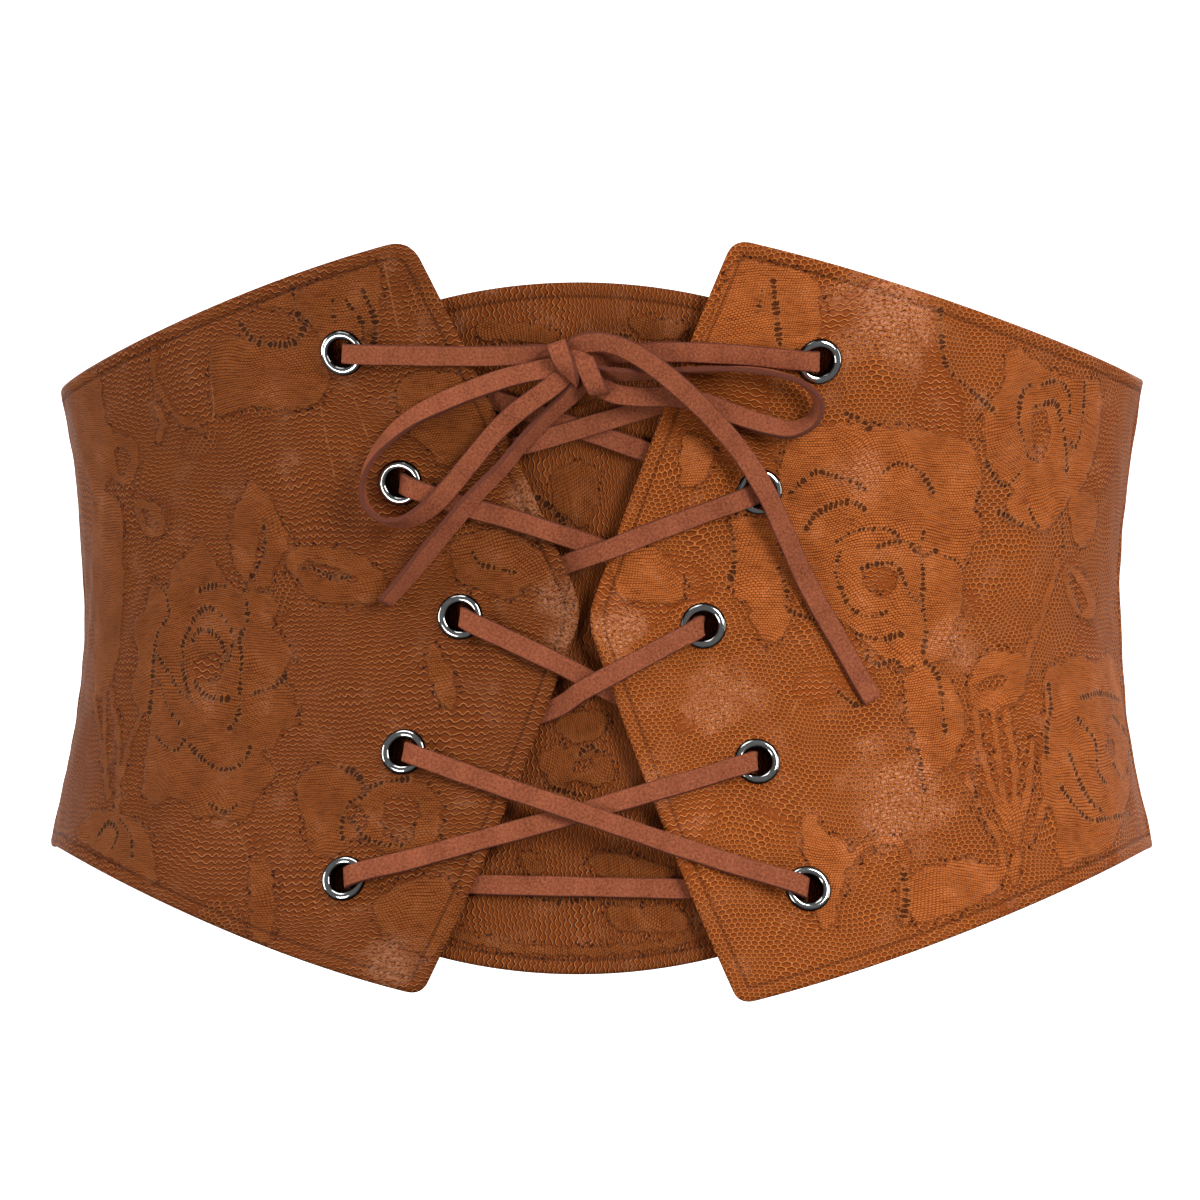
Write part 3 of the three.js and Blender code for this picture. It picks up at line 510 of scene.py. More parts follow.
ROWS_RIGHT = [
    # scallops
    [(47, 27), (50, 30), (53, 32), (57, 31), (61, 30), (64, 28)],
    [(51, 19), (53, 22), (56, 24), (59, 25), (62, 25), (65, 23)],
    [(68, 32), (72, 34), (77, 32), (81, 27)],
    # rose, from its middle outwards
    [(64, 10), (67, 11), (72, 11), (74, 8), (76, 4), (78, 2)],
    [(59, 14), (58, 10), (59, 6), (61, 2), (63, 0), (66, -1), (70, 0)],
    [(68, 15), (71, 16), (75, 16), (78, 13), (82, 14)],
    [(58, 16), (61, 18), (64, 19), (66, 19), (70, 19), (73, 17)],
    [(63, -5), (67, -6), (70, -6), (74, -5)],
    [(44, 20), (45, 17), (46, 13)],
    [(45, 10), (47, 5), (47, 1), (51, -1), (55, -2), (59, -5)],
    [(79, 19), (78, 14), (79, 9), (79, 2), (80, -4), (79, -10)],
    [(79, -11), (82, -14), (83, -18), (83, -23), (83, -28)],
    [(84, 13), (87, 12), (89, 10)],
    [(65, -10), (68, -12), (72, -11), (74, -14)],
    [(56, -15), (59, -19), (63, -22)],
    # petal
    [(34, 20), (35, 15), (35, 11), (34, 7)],
    # vein
    [(78, 69), (79, 62), (81, 56), (87, 51), (94, 46)],
    # peak
    [(41, 75), (42, 68), (43, 61)],
    [(39, 73), (38, 68)],
    [(59, 45), (62, 44), (64, 42)],
    # side rose
    [(103, 52), (101, 50), (101, 44), (103, 40), (105, 36), (108, 35)],
    [(105, 47), (108, 48), (112, 48), (114, 45), (116, 41), (118, 35), (119, 31)],
    [(106, 52), (109, 53), (113, 53), (116, 50), (117, 46)],
    [(121, 53), (122, 46), (122, 41), (120, 38), (118, 40)],
    [(93, 35), (95, 32), (99, 29), (102, 31), (104, 33)],
    [(98, 23), (101, 22), (103, 21), (106, 20)],
    [(107, 24), (109, 21), (111, 19)],
    [(118, 24), (119, 20), (120, 14)],
    # drop
    [(122, 10), (125, 4), (129, 0)],
    # low rose
    [(136, -30), (138, -25), (144, -25), (152, -29), (150, -35), (141, -39), (136, -35)],
    [(126, -20), (136, -19), (152, -21)],
    [(124, -25), (129, -30), (128, -37), (131, -40)],
    [(118, -32), (120, -39), (123, -44), (126, -46)],
    [(113, -40), (116, -44), (121, -48), (128, -48), (144, -47)],
    [(114, -17), (114, -22), (111, -28), (110, -34)],
    # leaf
    [(74, -20), (75, -27), (76, -34), (76, -41)],
    # fan
    [(89, -37), (89, -43), (90, -48), (92, -51)],
    [(69, -58), (69, -65), (67, -72)],
]
THREADS_RIGHT = [
    # edge
    [(90, 3), (95, -3), (97, -9)],
    # bow
    [(58, 60), (58, 54), (59, 48)],
    # long
    [(111, 12), (108, 3)],
    # drop
    [(49, -20), (47, -24)],
]

# Spots where the leather is glossier and gets a painted highlight: along, height and reach
GLOSS_AND_HIGHLIGHT_LEFT = [(-2, 3, 9), (-37, -80, 10), (-4, -5, 7), (-12, 22, 8)]
GLOSS_AND_HIGHLIGHT_RIGHT = [(66, 66, 16), (70, -43, 18), (32, -20, 12), (8, -2, 9), (62, 32, 8), (88, -6, 9),
               (16, -38, 8)]

LACE_CHART = {
    "left": {"cloth": CLOTH_LEFT, "windows": WINDOWS_LEFT, "bands": BANDS_LEFT, "rows": ROWS_LEFT,
             "threads": THREADS_LEFT, "gloss_and_highlight_spots": GLOSS_AND_HIGHLIGHT_LEFT},
    "right": {"cloth": CLOTH_RIGHT, "windows": WINDOWS_RIGHT, "bands": BANDS_RIGHT, "rows": ROWS_RIGHT,
              "threads": THREADS_RIGHT, "gloss_and_highlight_spots": GLOSS_AND_HIGHLIGHT_RIGHT},
}
MODESTY_CHART = {
    "cloth": [
        # upper flowers
        [(-21, 66), (-15, 65), (-9, 65), (-4, 62), (-6, 60), (-14, 61), (-21, 61)],
        [(11, 66), (18, 66), (24, 64), (20, 61), (13, 62)],
        [(-2, 52), (6, 52), (8, 49), (2, 47), (-4, 47)],
        # middle
        [(-6, 31), (-3, 33), (1, 34), (4, 31), (4, 25), (1, 19), (-3, 21), (-6, 25)],
        [(-4, -23), (2, -22), (6, -23), (6, -27), (3, -29), (-1, -29), (-5, -27)],
        [(-9, -32), (-4, -30), (2, -31), (7, -33), (8, -37), (5, -39), (-1, -38), (-4, -40), (-7, -38)],
        # lower
        [(2, -55), (8, -54), (17, -56), (21, -58), (19, -60), (6, -60)],
        [(6, -66), (13, -66), (20, -66), (24, -71), (17, -72), (8, -71)],
        [(-13, -54), (-10, -54), (-7, -58), (-10, -59)],
    ],
    "windows": [[(-1, -34), (2, -33), (3, -35), (0, -36)]],
    "bands": [[(-30, -71), (-15, -75), (0, -76), (15, -75), (30, -71)]],
    "rows": [
        [(-10, 26), (-6, 23), (-3, 19)],
        [(3, 60), (7, 62), (11, 62)],
        [(-7, -39), (-4, -40), (1, -41)],
        [(0, -32), (2, -30), (4, -31)],
        [(-12, -63), (-4, -65), (4, -64)],
    ],
    "threads": [], "gloss_and_highlight_spots": [],
}
PLAIN_CHART = {"cloth": [], "windows": [], "bands": [], "rows": [], "threads": [], "gloss_and_highlight_spots": []}

# Pattern mapping


def mix(a, b, share):
    return a + (b - a) * share


def smooth(share):
    share = np.clip(share, 0, 1)
    return share * share * (3 - 2 * share)


def unit(vectors):
    return vectors / np.linalg.norm(vectors, axis=-1, keepdims=True)


def flare_at(height):
    def reach(h):
        return np.hypot(1, h / FLARE_SOFTNESS) - 1

    most = np.where(height > 0, FLARE_TOP, FLARE_BOTTOM)
    return most * reach(height) / reach(FLARE_HEIGHT)


def loop_point(angle, height):
    flare = flare_at(height)
    half_width = WAIST_WIDTH / 2 + flare
    half_depth = WAIST_DEPTH / 2 + DEPTH_FLARE * flare
    x = np.sin(angle)
    y = -np.cos(angle)
    size = np.abs(x / half_width) ** LOOP_POWER + np.abs(y / half_depth) ** LOOP_POWER
    radius = size ** (-1 / LOOP_POWER)
    return np.stack([radius * x, radius * y, height + 0 * x], -1)


LOOP_ANGLES = np.linspace(0, 2 * math.pi, LOOP_SAMPLES + 1)
LOOP_STEPS = np.diff(loop_point(LOOP_ANGLES, np.zeros(LOOP_SAMPLES + 1)), axis=0)
LOOP_LENGTHS = np.concatenate([[0], np.cumsum(np.linalg.norm(LOOP_STEPS, axis=1))])
GIRTH = LOOP_LENGTHS[-1]


def place_on(along, height, level):
    """Points of the loop's surface, with the directions along, up and out there."""
    along, height, level = (np.asarray(v, float) for v in np.broadcast_arrays(along, height, level))
    angle = np.interp(np.mod(along, GIRTH), LOOP_LENGTHS, LOOP_ANGLES)
    step = 1e-3
    round_ = unit(loop_point(angle + step, height) - loop_point(angle - step, height))
    up = unit(loop_point(angle, height + step) - loop_point(angle, height - step))
    out = unit(np.cross(round_, up))
    return loop_point(angle, height) + out * level[..., None], round_, up, out


# Meshes


def mesh_piece(name, vertices, faces, body, material, node=None):
    """A smooth mesh in the row frame, from millimetres, that rides on the body and stands for the node."""
    mesh = bpy.data.meshes.new(name)
    mesh.from_pydata((np.asarray(vertices) * MM).tolist(), [], faces)
    mesh.validate()
    mesh.shade_smooth()
    mesh.materials.append(material)
    piece = bpy.data.objects.new(name, mesh)
    bpy.context.collection.objects.link(piece)
    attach(piece, body)
    if node:
        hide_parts(node)
    return piece


def add_attribute(piece, name, values):
    values = np.asarray(values, float)
    kind, field = ("FLOAT", "value") if values.ndim == 1 else ("FLOAT_VECTOR", "vector")
    attribute = piece.data.attributes.new(name, kind, "POINT")
    attribute.data.foreach_set(field, values.astype(np.float32).ravel())


def grid_faces(rows, columns, first=0, flip=False):
    corner = first + np.arange(rows - 1)[:, None] * columns + np.arange(columns - 1)
    quads = np.stack([corner, corner + 1, corner + columns + 1, corner + columns], -1).reshape(-1, 4)
    return quads[:, ::-1] if flip else quads


def ring_faces(rings, sides, wrapped=False):
    """The faces of a grid that closes round each ring, and from the last ring to the first if wrapped."""
    ring = np.arange(rings if wrapped else rings - 1)[:, None]
    side = np.arange(sides)
    first, following = ring * sides, (ring + 1) % rings * sides
    after = (side + 1) % sides
    return np.stack([first + side, first + after, following + after, following + side], -1).reshape(-1, 4)


def border_of(grid):
    return np.concatenate([grid[0], grid[1:, -1], grid[-1, -2::-1], grid[-2::-1, 0]])


# Curves in the pattern


def smooth_line(points, steps=6, closed=False):
    """Points of a smooth line through pattern points."""
    points = np.asarray(points, float)
    if closed:
        padded = np.concatenate([points[-1:], points, points[:2]])
    else:
        padded = np.concatenate([2 * points[:1] - points[1:2], points, 2 * points[-1:] - points[-2:-1]])
    share = np.linspace(0, 1, steps, endpoint=False)[:, None]
    line = []
    for a, b, c, d in zip(padded, padded[1:], padded[2:], padded[3:]):
        line.append(b + 0.5 * share * (c - a + share * (2 * a - 5 * b + 4 * c - d
                                                        + share * (3 * (b - c) + d - a))))
    line.append(padded[-2:-1])
    return np.concatenate(line)


def line_distance(points, line):
    """Distance of each point to the line, and the run along the line of its nearest place."""
    best = np.full(len(points), 1e9)
    run = np.zeros(len(points))
    start = 0.0
    for a, b in zip(line, line[1:]):
        edge = b - a
        length = np.hypot(*edge)
        if length < 1e-9:
            continue
        share = np.clip((points - a) @ edge / length**2, 0, 1)
        distance = np.hypot(*(points - a - share[:, None] * edge).T)
        nearer = distance < best
        best = np.where(nearer, distance, best)
        run = np.where(nearer, start + share * length, run)
        start += length
    return best, run


def inside(points, line):
    crossings = np.zeros(len(points), int)
    for a, b in zip(line, line[1:]):
        between = (a[1] > points[:, 1]) != (b[1] > points[:, 1])
        rise = b[1] - a[1]
        at = a[0] + (points[:, 1] - a[1]) * (b[0] - a[0]) / (rise if abs(rise) > 1e-9 else 1e-9)
        crossings += between & (points[:, 0] < at)
    return crossings % 2 == 1


def near(points, line, reach):
    low = line.min(axis=0) - reach
    high = line.max(axis=0) + reach
    return np.flatnonzero(((points > low) & (points < high)).all(axis=1))


def depth_inside(points, outline):
    """Which points lie near a closed outline, and how deep each of them lies inside it."""
    line = smooth_line(outline, closed=True)
    some = near(points, line, FAR)
    depth = line_distance(points[some], line)[0]
    return some, np.where(inside(points[some], line), depth, -depth)


def along_route(points, route):
    """Which points lie near an open route, with the distance and the run of each of them."""
    line = smooth_line(route)
    some = near(points, line, FAR)
    return some, *line_distance(points[some], line)


def lace_fields(points, chart):
    """Cloth depth inside the motifs' outlines, the run and distance of the nearest row of holes, and the
    distance of the nearest pale thread, in millimetres."""
    cloth = np.full(len(points), -FAR)
    for outline in chart["cloth"]:
        some, depth = depth_inside(points, outline)
        cloth[some] = np.maximum(cloth[some], depth)
    for outline in chart["windows"]:
        some, depth = depth_inside(points, outline)
        cloth[some] = np.minimum(cloth[some], -depth)
    for route in chart["bands"]:
        some, distance, _ = along_route(points, route)
        cloth[some] = np.maximum(cloth[some], BAND_HALF - distance)
    run = np.zeros(len(points))
    row = np.full(len(points), FAR)
    second = np.full(len(points), FAR)
    for number, route in enumerate(chart["rows"]):
        some, distance, place = along_route(points, route)
        nearer = distance < row[some]
        second[some] = np.where(nearer, row[some], np.minimum(second[some], distance))
        run[some] = np.where(nearer, place + ROW_SHIFT * number, run[some])
        row[some] = np.where(nearer, distance, row[some])
    row += 2 * np.maximum(0, 0.6 - (second - row))
    thread = np.full(len(points), FAR)
    for route in chart["threads"]:
        some, distance, _ = along_route(points, route)
        thread[some] = np.minimum(thread[some], distance)
    return cloth, run, row, thread


def waves(points, seed, length, count=6):
    """Soft noise between about -1 and 1, made of a few waves in random directions."""
    random = np.random.default_rng(seed)
    total = np.zeros(len(points))
    for _ in range(count):
        turn, phase = random.uniform(0, 2 * math.pi, 2)
        stretch = random.uniform(0.7, 1.5)
        reach = points[:, 0] * math.cos(turn) + points[:, 1] * math.sin(turn)
        total += np.sin(reach * 2 * math.pi / (length * stretch) + phase)
    return total / math.sqrt(count)


# Front panels


def peak_of(panel, edge):
    return np.array([panel["side"] * panel[edge]["spread"], panel[edge]["peak"]])


def tip_of(panel):
    return np.array([TIP_OFFSET + panel["side"] * TIP_GAP / 2, panel["tip"]])


def centre_edge(panel, height):
    tip = tip_of(panel)
    peak = peak_of(panel, "top" if height > tip[1] else "bottom")
    return mix(tip[0], peak[0], (height - tip[1]) / (peak[1] - tip[1]))


def long_edge(panel, share, edge):
    peak = peak_of(panel, edge)
    hollow = 1 - panel[edge]["curve"] * share**2
    return np.array([mix(peak[0], panel["side"] * SIDE_SEAM, share),
                     mix(panel[edge]["seam"], peak[1], (1 - share) * hollow)])


def rounded(before, corner, after, steps=12):
    share = np.linspace(0, 1, steps)[:, None]
    return (1 - share) ** 2 * before + 2 * share * (1 - share) * corner + share**2 * after


def towards(a, b, distance):
    return a + (b - a) * distance / np.linalg.norm(b - a)


def side_lines(panel):
    """The panel's upper, lower, centre and seam lines as dense pattern points."""
    lines = []
    for edge in ("top", "bottom"):
        reach = panel[edge]["round"]
        corner = peak_of(panel, edge)
        start = reach / (SIDE_SEAM - panel[edge]["spread"])
        bend = rounded(towards(corner, tip_of(panel), reach), corner, long_edge(panel, start, edge))
        rest = [long_edge(panel, share, edge) for share in np.linspace(start, 1, 120)[1:]]
        lines.append(np.concatenate([bend, rest]))
    tip = tip_of(panel)
    low = towards(peak_of(panel, "bottom"), tip, panel["bottom"]["round"])
    high = towards(peak_of(panel, "top"), tip, panel["top"]["round"])
    bend = rounded(towards(tip, low, TIP_ROUND), tip, towards(tip, high, TIP_ROUND))
    centre = np.concatenate([[low], bend, [high]])
    return lines[0], lines[1], centre, np.array([lines[1][-1], lines[0][-1]])


def at_shares(line, shares):
    lengths = np.concatenate([[0], np.cumsum(np.linalg.norm(np.diff(line, axis=0), axis=1))])
    return np.stack([np.interp(shares * lengths[-1], lengths, line[:, k]) for k in (0, 1)], -1)


def shares_of(count, width):
    """Even shares with closer ones near both ends, over a width in millimetres."""
    border = np.array(EDGE_STEPS) / width
    return np.concatenate([border, np.linspace(border[-1], 1 - border[-1], count)[1:-1], 1 - border[::-1]])


def panel_points(panel, columns, rows):
    """Pattern points filled in between the panel's four lines."""
    top, bottom, centre, seam = side_lines(panel)
    u = shares_of(columns, SIDE_SEAM - panel["top"]["spread"])
    v = shares_of(rows, panel["top"]["seam"] - panel["bottom"]["seam"])
    top, bottom = at_shares(top, u), at_shares(bottom, u)
    centre, seam = at_shares(centre, v)[:, None], at_shares(seam, v)[:, None]
    u, v = u[None, :, None], v[:, None, None]
    corners = mix(mix(bottom[:1], top[:1], v), mix(bottom[-1:], top[-1:], v), u)
    points = mix(bottom[None], top[None], v) + mix(centre, seam, u) - corners
    return points[:, ::-1] if panel["side"] < 0 else points


def eyelet_place(name, row):
    panel = PANELS[name]
    height = panel["tip"] + EYELET_ROWS[row]["rise"] * EYELET_PITCH
    inset = EYELET_INSET * EYELET_ROWS[row][name]
    return np.array([centre_edge(panel, height) + panel["side"] * inset, height])


def edge_roll(distance, thickness):
    """How far the face sinks towards the middle of the thickness near the edge."""
    radius = thickness / 2
    share = np.clip(distance / radius, 0, 1)
    return radius * (1 - np.sqrt(1 - (1 - share) ** 2))


def hem_relief(distance):
    """The rolled hem's crown, and the valley where it is sewn down."""
    crown = HEM_CROWN * np.exp(-(((distance - HEM_CROWN_AT) / 1.1) ** 2))
    return crown - HEM_VALLEY * np.exp(-(((distance - HEM_WIDTH) / 0.42) ** 2))


def eyelet_relief(rise, points, eyelet):
    """The cloth's rise with its dish and its radial folds round an eyelet."""
    reach = np.hypot(*(points - eyelet).T)
    spoke = np.arctan2(points[:, 1] - eyelet[1], points[:, 0] - eyelet[0])
    rise = rise - 0.25 * np.exp(-(((reach - 7.2) / 1.1) ** 2))
    rise = rise + 0.16 * np.sin(9 * spoke + reach / 5) * np.exp(-(((reach - 12) / 6) ** 2))
    return mix(rise, 0.3, smooth((6.3 - reach) / 1.2))


def face_relief(points, distance, cloth, eyelets, seed, relief):
    """How far a front face rises over its plain level: hem, motifs, soft waves and eyelets."""
    motifs = MOTIF_RISE * smooth(cloth / 0.8 + 0.5) * smooth(distance - HEM_WIDTH)
    rise = hem_relief(distance) + motifs
    rise += relief * (0.28 * waves(points, seed, 34) + 0.1 * waves(points, seed + 1, 9))
    rise = np.minimum(rise, 0.3 + 0.8 * smooth((np.abs(points[:, 0]) - 70) / 20))
    for eyelet in eyelets:
        rise = eyelet_relief(rise, points, eyelet)
    return rise * smooth(distance / 1.2)


def sewn_panel(name, grids, level, thickness, edges, chart, material, node, body, seed, eyelets=(),
               relief=1.0):
    """A cloth piece with its lace's fields. grids are pattern points for its front and its back face, and
    level gives its front face."""
    vertices, faces, fields = [], [], []
    first = 0
    for grid, is_front in zip(grids, (True, False)):
        rows, columns = grid.shape[:2]
        points = grid.reshape(-1, 2)
        distance = line_distance(points, edges)[0]
        sink = edge_roll(distance, thickness)
        if is_front:
            cloth, run, row, thread = lace_fields(points, chart)
            rise = face_relief(points, distance, cloth, eyelets, seed, relief)
            height = level(points[:, 0]) - sink + rise
        else:
            cloth, run, row, thread = (np.full(len(points), value) for value in (-FAR, 0.0, FAR, FAR))
            height = level(points[:, 0]) - thickness + sink
        quads = grid_faces(rows, columns, first, flip=not is_front)
        middle = points[quads - first].mean(axis=1)
        for eyelet in eyelets:
            keep = np.hypot(*(middle - eyelet).T) > HOLE_RADIUS
            quads, middle = quads[keep], middle[keep]
        warp = np.stack([waves(points, seed + 2, 40), waves(points, seed + 3, 46)], -1) * NET_WARP
        vertices.append(place_on(points[:, 0], points[:, 1], height)[0])
        faces.append(quads)
        fields.append(np.column_stack([points + warp, cloth, run, row, thread, distance]))
        first += len(points)
    fields = np.concatenate(fields)
    # Spots of glossier leather, which also carry a painted highlight
    gloss_and_highlight_spots = np.zeros(len(fields))
    for along, height, reach in chart["gloss_and_highlight_spots"]:
        away = np.hypot(fields[:, 0] - along, fields[:, 1] - height)
        gloss_and_highlight_spots = np.maximum(gloss_and_highlight_spots, np.clip(1 - away / reach, 0, 1))
    piece = mesh_piece(name, np.concatenate(vertices), np.concatenate(faces).tolist(), body, material, node)
    add_attribute(piece, "weave", fields[:, :3])
    add_attribute(piece, "rows", fields[:, 3:6])
    add_attribute(piece, "hem", fields[:, 6])
    add_attribute(piece, "gloss_and_highlight_spots", gloss_and_highlight_spots)
    return piece


# Lace


def curve_points(places, steps_of):
    """A centripetal curve through places, with the place and share of each of its points."""
    places = np.asarray(places, float)
    padded = np.concatenate([2 * places[:1] - places[1:2], places, 2 * places[-1:] - places[-2:-1]])
    points, spots = [], []
    for i in range(len(places) - 1):
        a, b, c, d = padded[i:i + 4]
        ta, tb, tc = (max(np.linalg.norm(q - p) ** 0.5, 1e-4) for p, q in ((a, b), (b, c), (c, d)))
        left = ((b - a) / ta - (c - a) / (ta + tb) + (c - b) / tb) * tb
        right = ((c - b) / tb - (d - b) / (tb + tc) + (d - c) / tc) * tb
        steps = steps_of(np.linalg.norm(c - b))
        for share in np.linspace(0, 1, steps, endpoint=False):
            t2, t3 = share**2, share**3
            points.append((2 * t3 - 3 * t2 + 1) * b + (t3 - 2 * t2 + share) * left
                          + (3 * t2 - 2 * t3) * c + (t3 - t2) * right)
            spots.append(i + share)
    points.append(places[-1])
    spots.append(len(places) - 1)
    return np.array(points), np.array(spots)


def lace_section(width, thickness, corner_steps=4):
    """The points round a rectangle with rounded corners."""
    radius = 0.2 * thickness
    points = []
    for x, y, start in ((1, 1, 0), (-1, 1, 90), (-1, -1, 180), (1, -1, 270)):
        for turn in np.radians(np.linspace(start, start + 90, corner_steps)):
            points.append((x * (width / 2 - radius) + radius * math.cos(turn),
                           y * (thickness / 2 - radius) + radius * math.sin(turn)))
        if y * x > 0:
            for share in (0.03, 0.5, 0.97):
                points.append((x * (width / 2 - radius) * (1 - 2 * share), y * thickness / 2))
    return np.array(points)


def lace_mesh(route):
    """Vertices, faces, cloth coordinates and centre line of a flat lace along (place, across) pairs."""
    places = [place for place, _ in route]
    points, spots = curve_points(places, lambda length: max(2, round(length / LACE_STEP)))
    index = np.minimum(spots.astype(int), len(route) - 2)
    across = np.array([a for _, a in route])
    turned = mix(across[index], across[index + 1], (spots - index)[:, None])
    centre, round_, up, out = place_on(*points.T)
    wide = round_ * turned[:, :1] + up * turned[:, 1:2] + out * turned[:, 2:]
    forward = unit(np.gradient(centre, axis=0))
    wide = unit(wide - forward * (wide * forward).sum(axis=1, keepdims=True))
    deep = np.cross(forward, wide)
    section = lace_section(LACE_WIDTH, LACE_THICKNESS)
    run = np.concatenate([[0], np.cumsum(np.linalg.norm(np.diff(centre, axis=0), axis=1))])
    sway = 1 + 0.03 * np.sin(run / 7.3) * np.sin(run / 2.9 + 1)
    vertices = (centre[:, None] + wide[:, None] * section[None, :, :1] * sway[:, None, None]
                + deep[:, None] * section[None, :, 1:])
    rings, sides = vertices.shape[:2]
    faces = ring_faces(rings, sides).tolist()
    last = (rings - 1) * sides
    faces.append(list(range(sides))[::-1])
    faces.append([last + k for k in range(sides)])
    cloth = np.zeros((rings, sides, 3))
    cloth[..., 0] = section[None, :, 0]
    cloth[..., 1] = run[:, None]
    cloth[..., 2] = section[None, :, 1]
    return vertices.reshape(-1, 3), faces, cloth.reshape(-1, 3), centre


def lace_piece(name, route, material, body, node=None):
    vertices, faces, cloth, centre = lace_mesh(route)
    piece = mesh_piece(name, vertices, faces, body, material, node)
    add_attribute(piece, "strip", cloth)
    return piece, centre


def across_at(facing, roll):
    """The direction across a strip that runs in a pattern direction, with a roll in degrees."""
    a, b = unit(np.asarray(facing, float))
    turn = math.radians(roll)
    return np.array([-b * math.cos(turn), a * math.cos(turn), math.sin(turn)])


def facing_at(places, i):
    before, after = places[max(i - 1, 0)], places[min(i + 1, len(places) - 1)]
    return after[0] - before[0], after[1] - before[1]


def rolled_route(rows):
    """The strip's places with its direction across at each, from their rolls."""
    return [(row[:3], across_at(facing_at(rows, i), row[3])) for i, row in enumerate(rows)]


# Levels of the lacing, at the middle of the lace's thickness

BORE_RADIUS = math.hypot(LACE_WIDTH / 2, BORE_SHIFT + LACE_THICKNESS / 2) + BORE_ROOM
RIM_RADIUS = BORE_RADIUS + RIM_WIDTH
ON_PANEL = PANEL_THICKNESS + GAP + LACE_THICKNESS / 2
UNDER_PANEL = -(GAP + LACE_THICKNESS / 2)
BEHIND = UNDER_PANEL - GAP - BACK_RIM_HEIGHT
CROSS_LOWER = ON_PANEL - LACE_SAG
LEVELS = {
    "over_rim": ON_PANEL + RIM_HEIGHT + GAP,
    "on_panel": ON_PANEL,
    "on_edge": ON_PANEL + EDGE_LIFT,
    "gap_upper": GAP_UPPER,
    "gap_middle": GAP_MIDDLE,
    "gap_lower": UNDER_PANEL - GAP_DROP,
    "under_panel": UNDER_PANEL,
    "behind": BEHIND,
    "behind_upper": BEHIND + LACE_THICKNESS + GAP,
    "cross_lower": CROSS_LOWER,
    "cross_upper": CROSS_LOWER + LACE_THICKNESS + GAP,
}


def eyelet_turn(eyelet, start, end, inward):
    """The turn of the lace round a rim, as (place, facing) pairs."""
    a, b = unit(start - eyelet), unit(end - eyelet)
    middle = unit(a + b)
    first = LEVELS["over_rim" if inward else "behind"]
    last = LEVELS["behind" if inward else "over_rim"]

    def spot(ray, reach, share):
        return (*(eyelet + ray * reach), mix(first, last, share)), ray

    return [spot(a, RIM_RADIUS + LACE_THICKNESS, 0), spot(a, RIM_RADIUS * 0.55, 0),
            spot(unit(a + middle), BORE_RADIUS * 0.3, 0.16), spot(middle, BORE_SHIFT, 0.5),
            spot(unit(b + middle), BORE_RADIUS * 0.3, 0.84), spot(b, RIM_RADIUS * 0.55, 1),
            spot(b, RIM_RADIUS + LACE_THICKNESS, 1)]


def lacing_route():
    eyelets = [eyelet_place(name, row) for name, row, _, _ in LACING]

    def span_point(i, share, rise):
        return mix(eyelets[i], eyelets[i + 1], share) + np.array([0, rise])

    spots = [(row[:3], None, row[3]) for row in KNOT_SPAN_RIGHT[::-1]]
    for i, (_, _, inward, span) in enumerate(LACING):
        start = span_point(i - 1, *LACING[i - 1][3][-1][:2]) if i else np.array(KNOT_SPAN_RIGHT[0][:2])
        end = span_point(i, *span[0][:2]) if span else np.array(KNOT_SPAN_LEFT[0][:2])
        spots += [(place, ray, 0) for place, ray in eyelet_turn(eyelets[i], start, end, inward)]
        spots += [((*span_point(i, share, rise), LEVELS[level]), None, 0) for share, rise, level in span]
    spots += [(row[:3], None, row[3]) for row in KNOT_SPAN_LEFT]
    places = [place for place, _, _ in spots]
    route = []
    for i, (place, facing, roll) in enumerate(spots):
        across = across_at(facing_at(places, i) if facing is None else facing, roll)
        if route and across @ route[-1][1] < 0:
            across = -across
        route.append((place, across))
    return route


# Materials


class Value:
    """A shader value that is reckoned with like a number."""

    def __init__(self, finish, socket):
        self.finish, self.socket = finish, socket

    def __add__(self, other):
        return self.finish.math("ADD", self, other)

    def __sub__(self, other):
        return self.finish.math("SUBTRACT", self, other)

    def __rsub__(self, other):
        return self.finish.math("SUBTRACT", other, self)

    def __mul__(self, other):
        return self.finish.math("MULTIPLY", self, other)

    def __truediv__(self, other):
        return self.finish.math("DIVIDE", self, other)

    __radd__ = __add__
    __rmul__ = __mul__


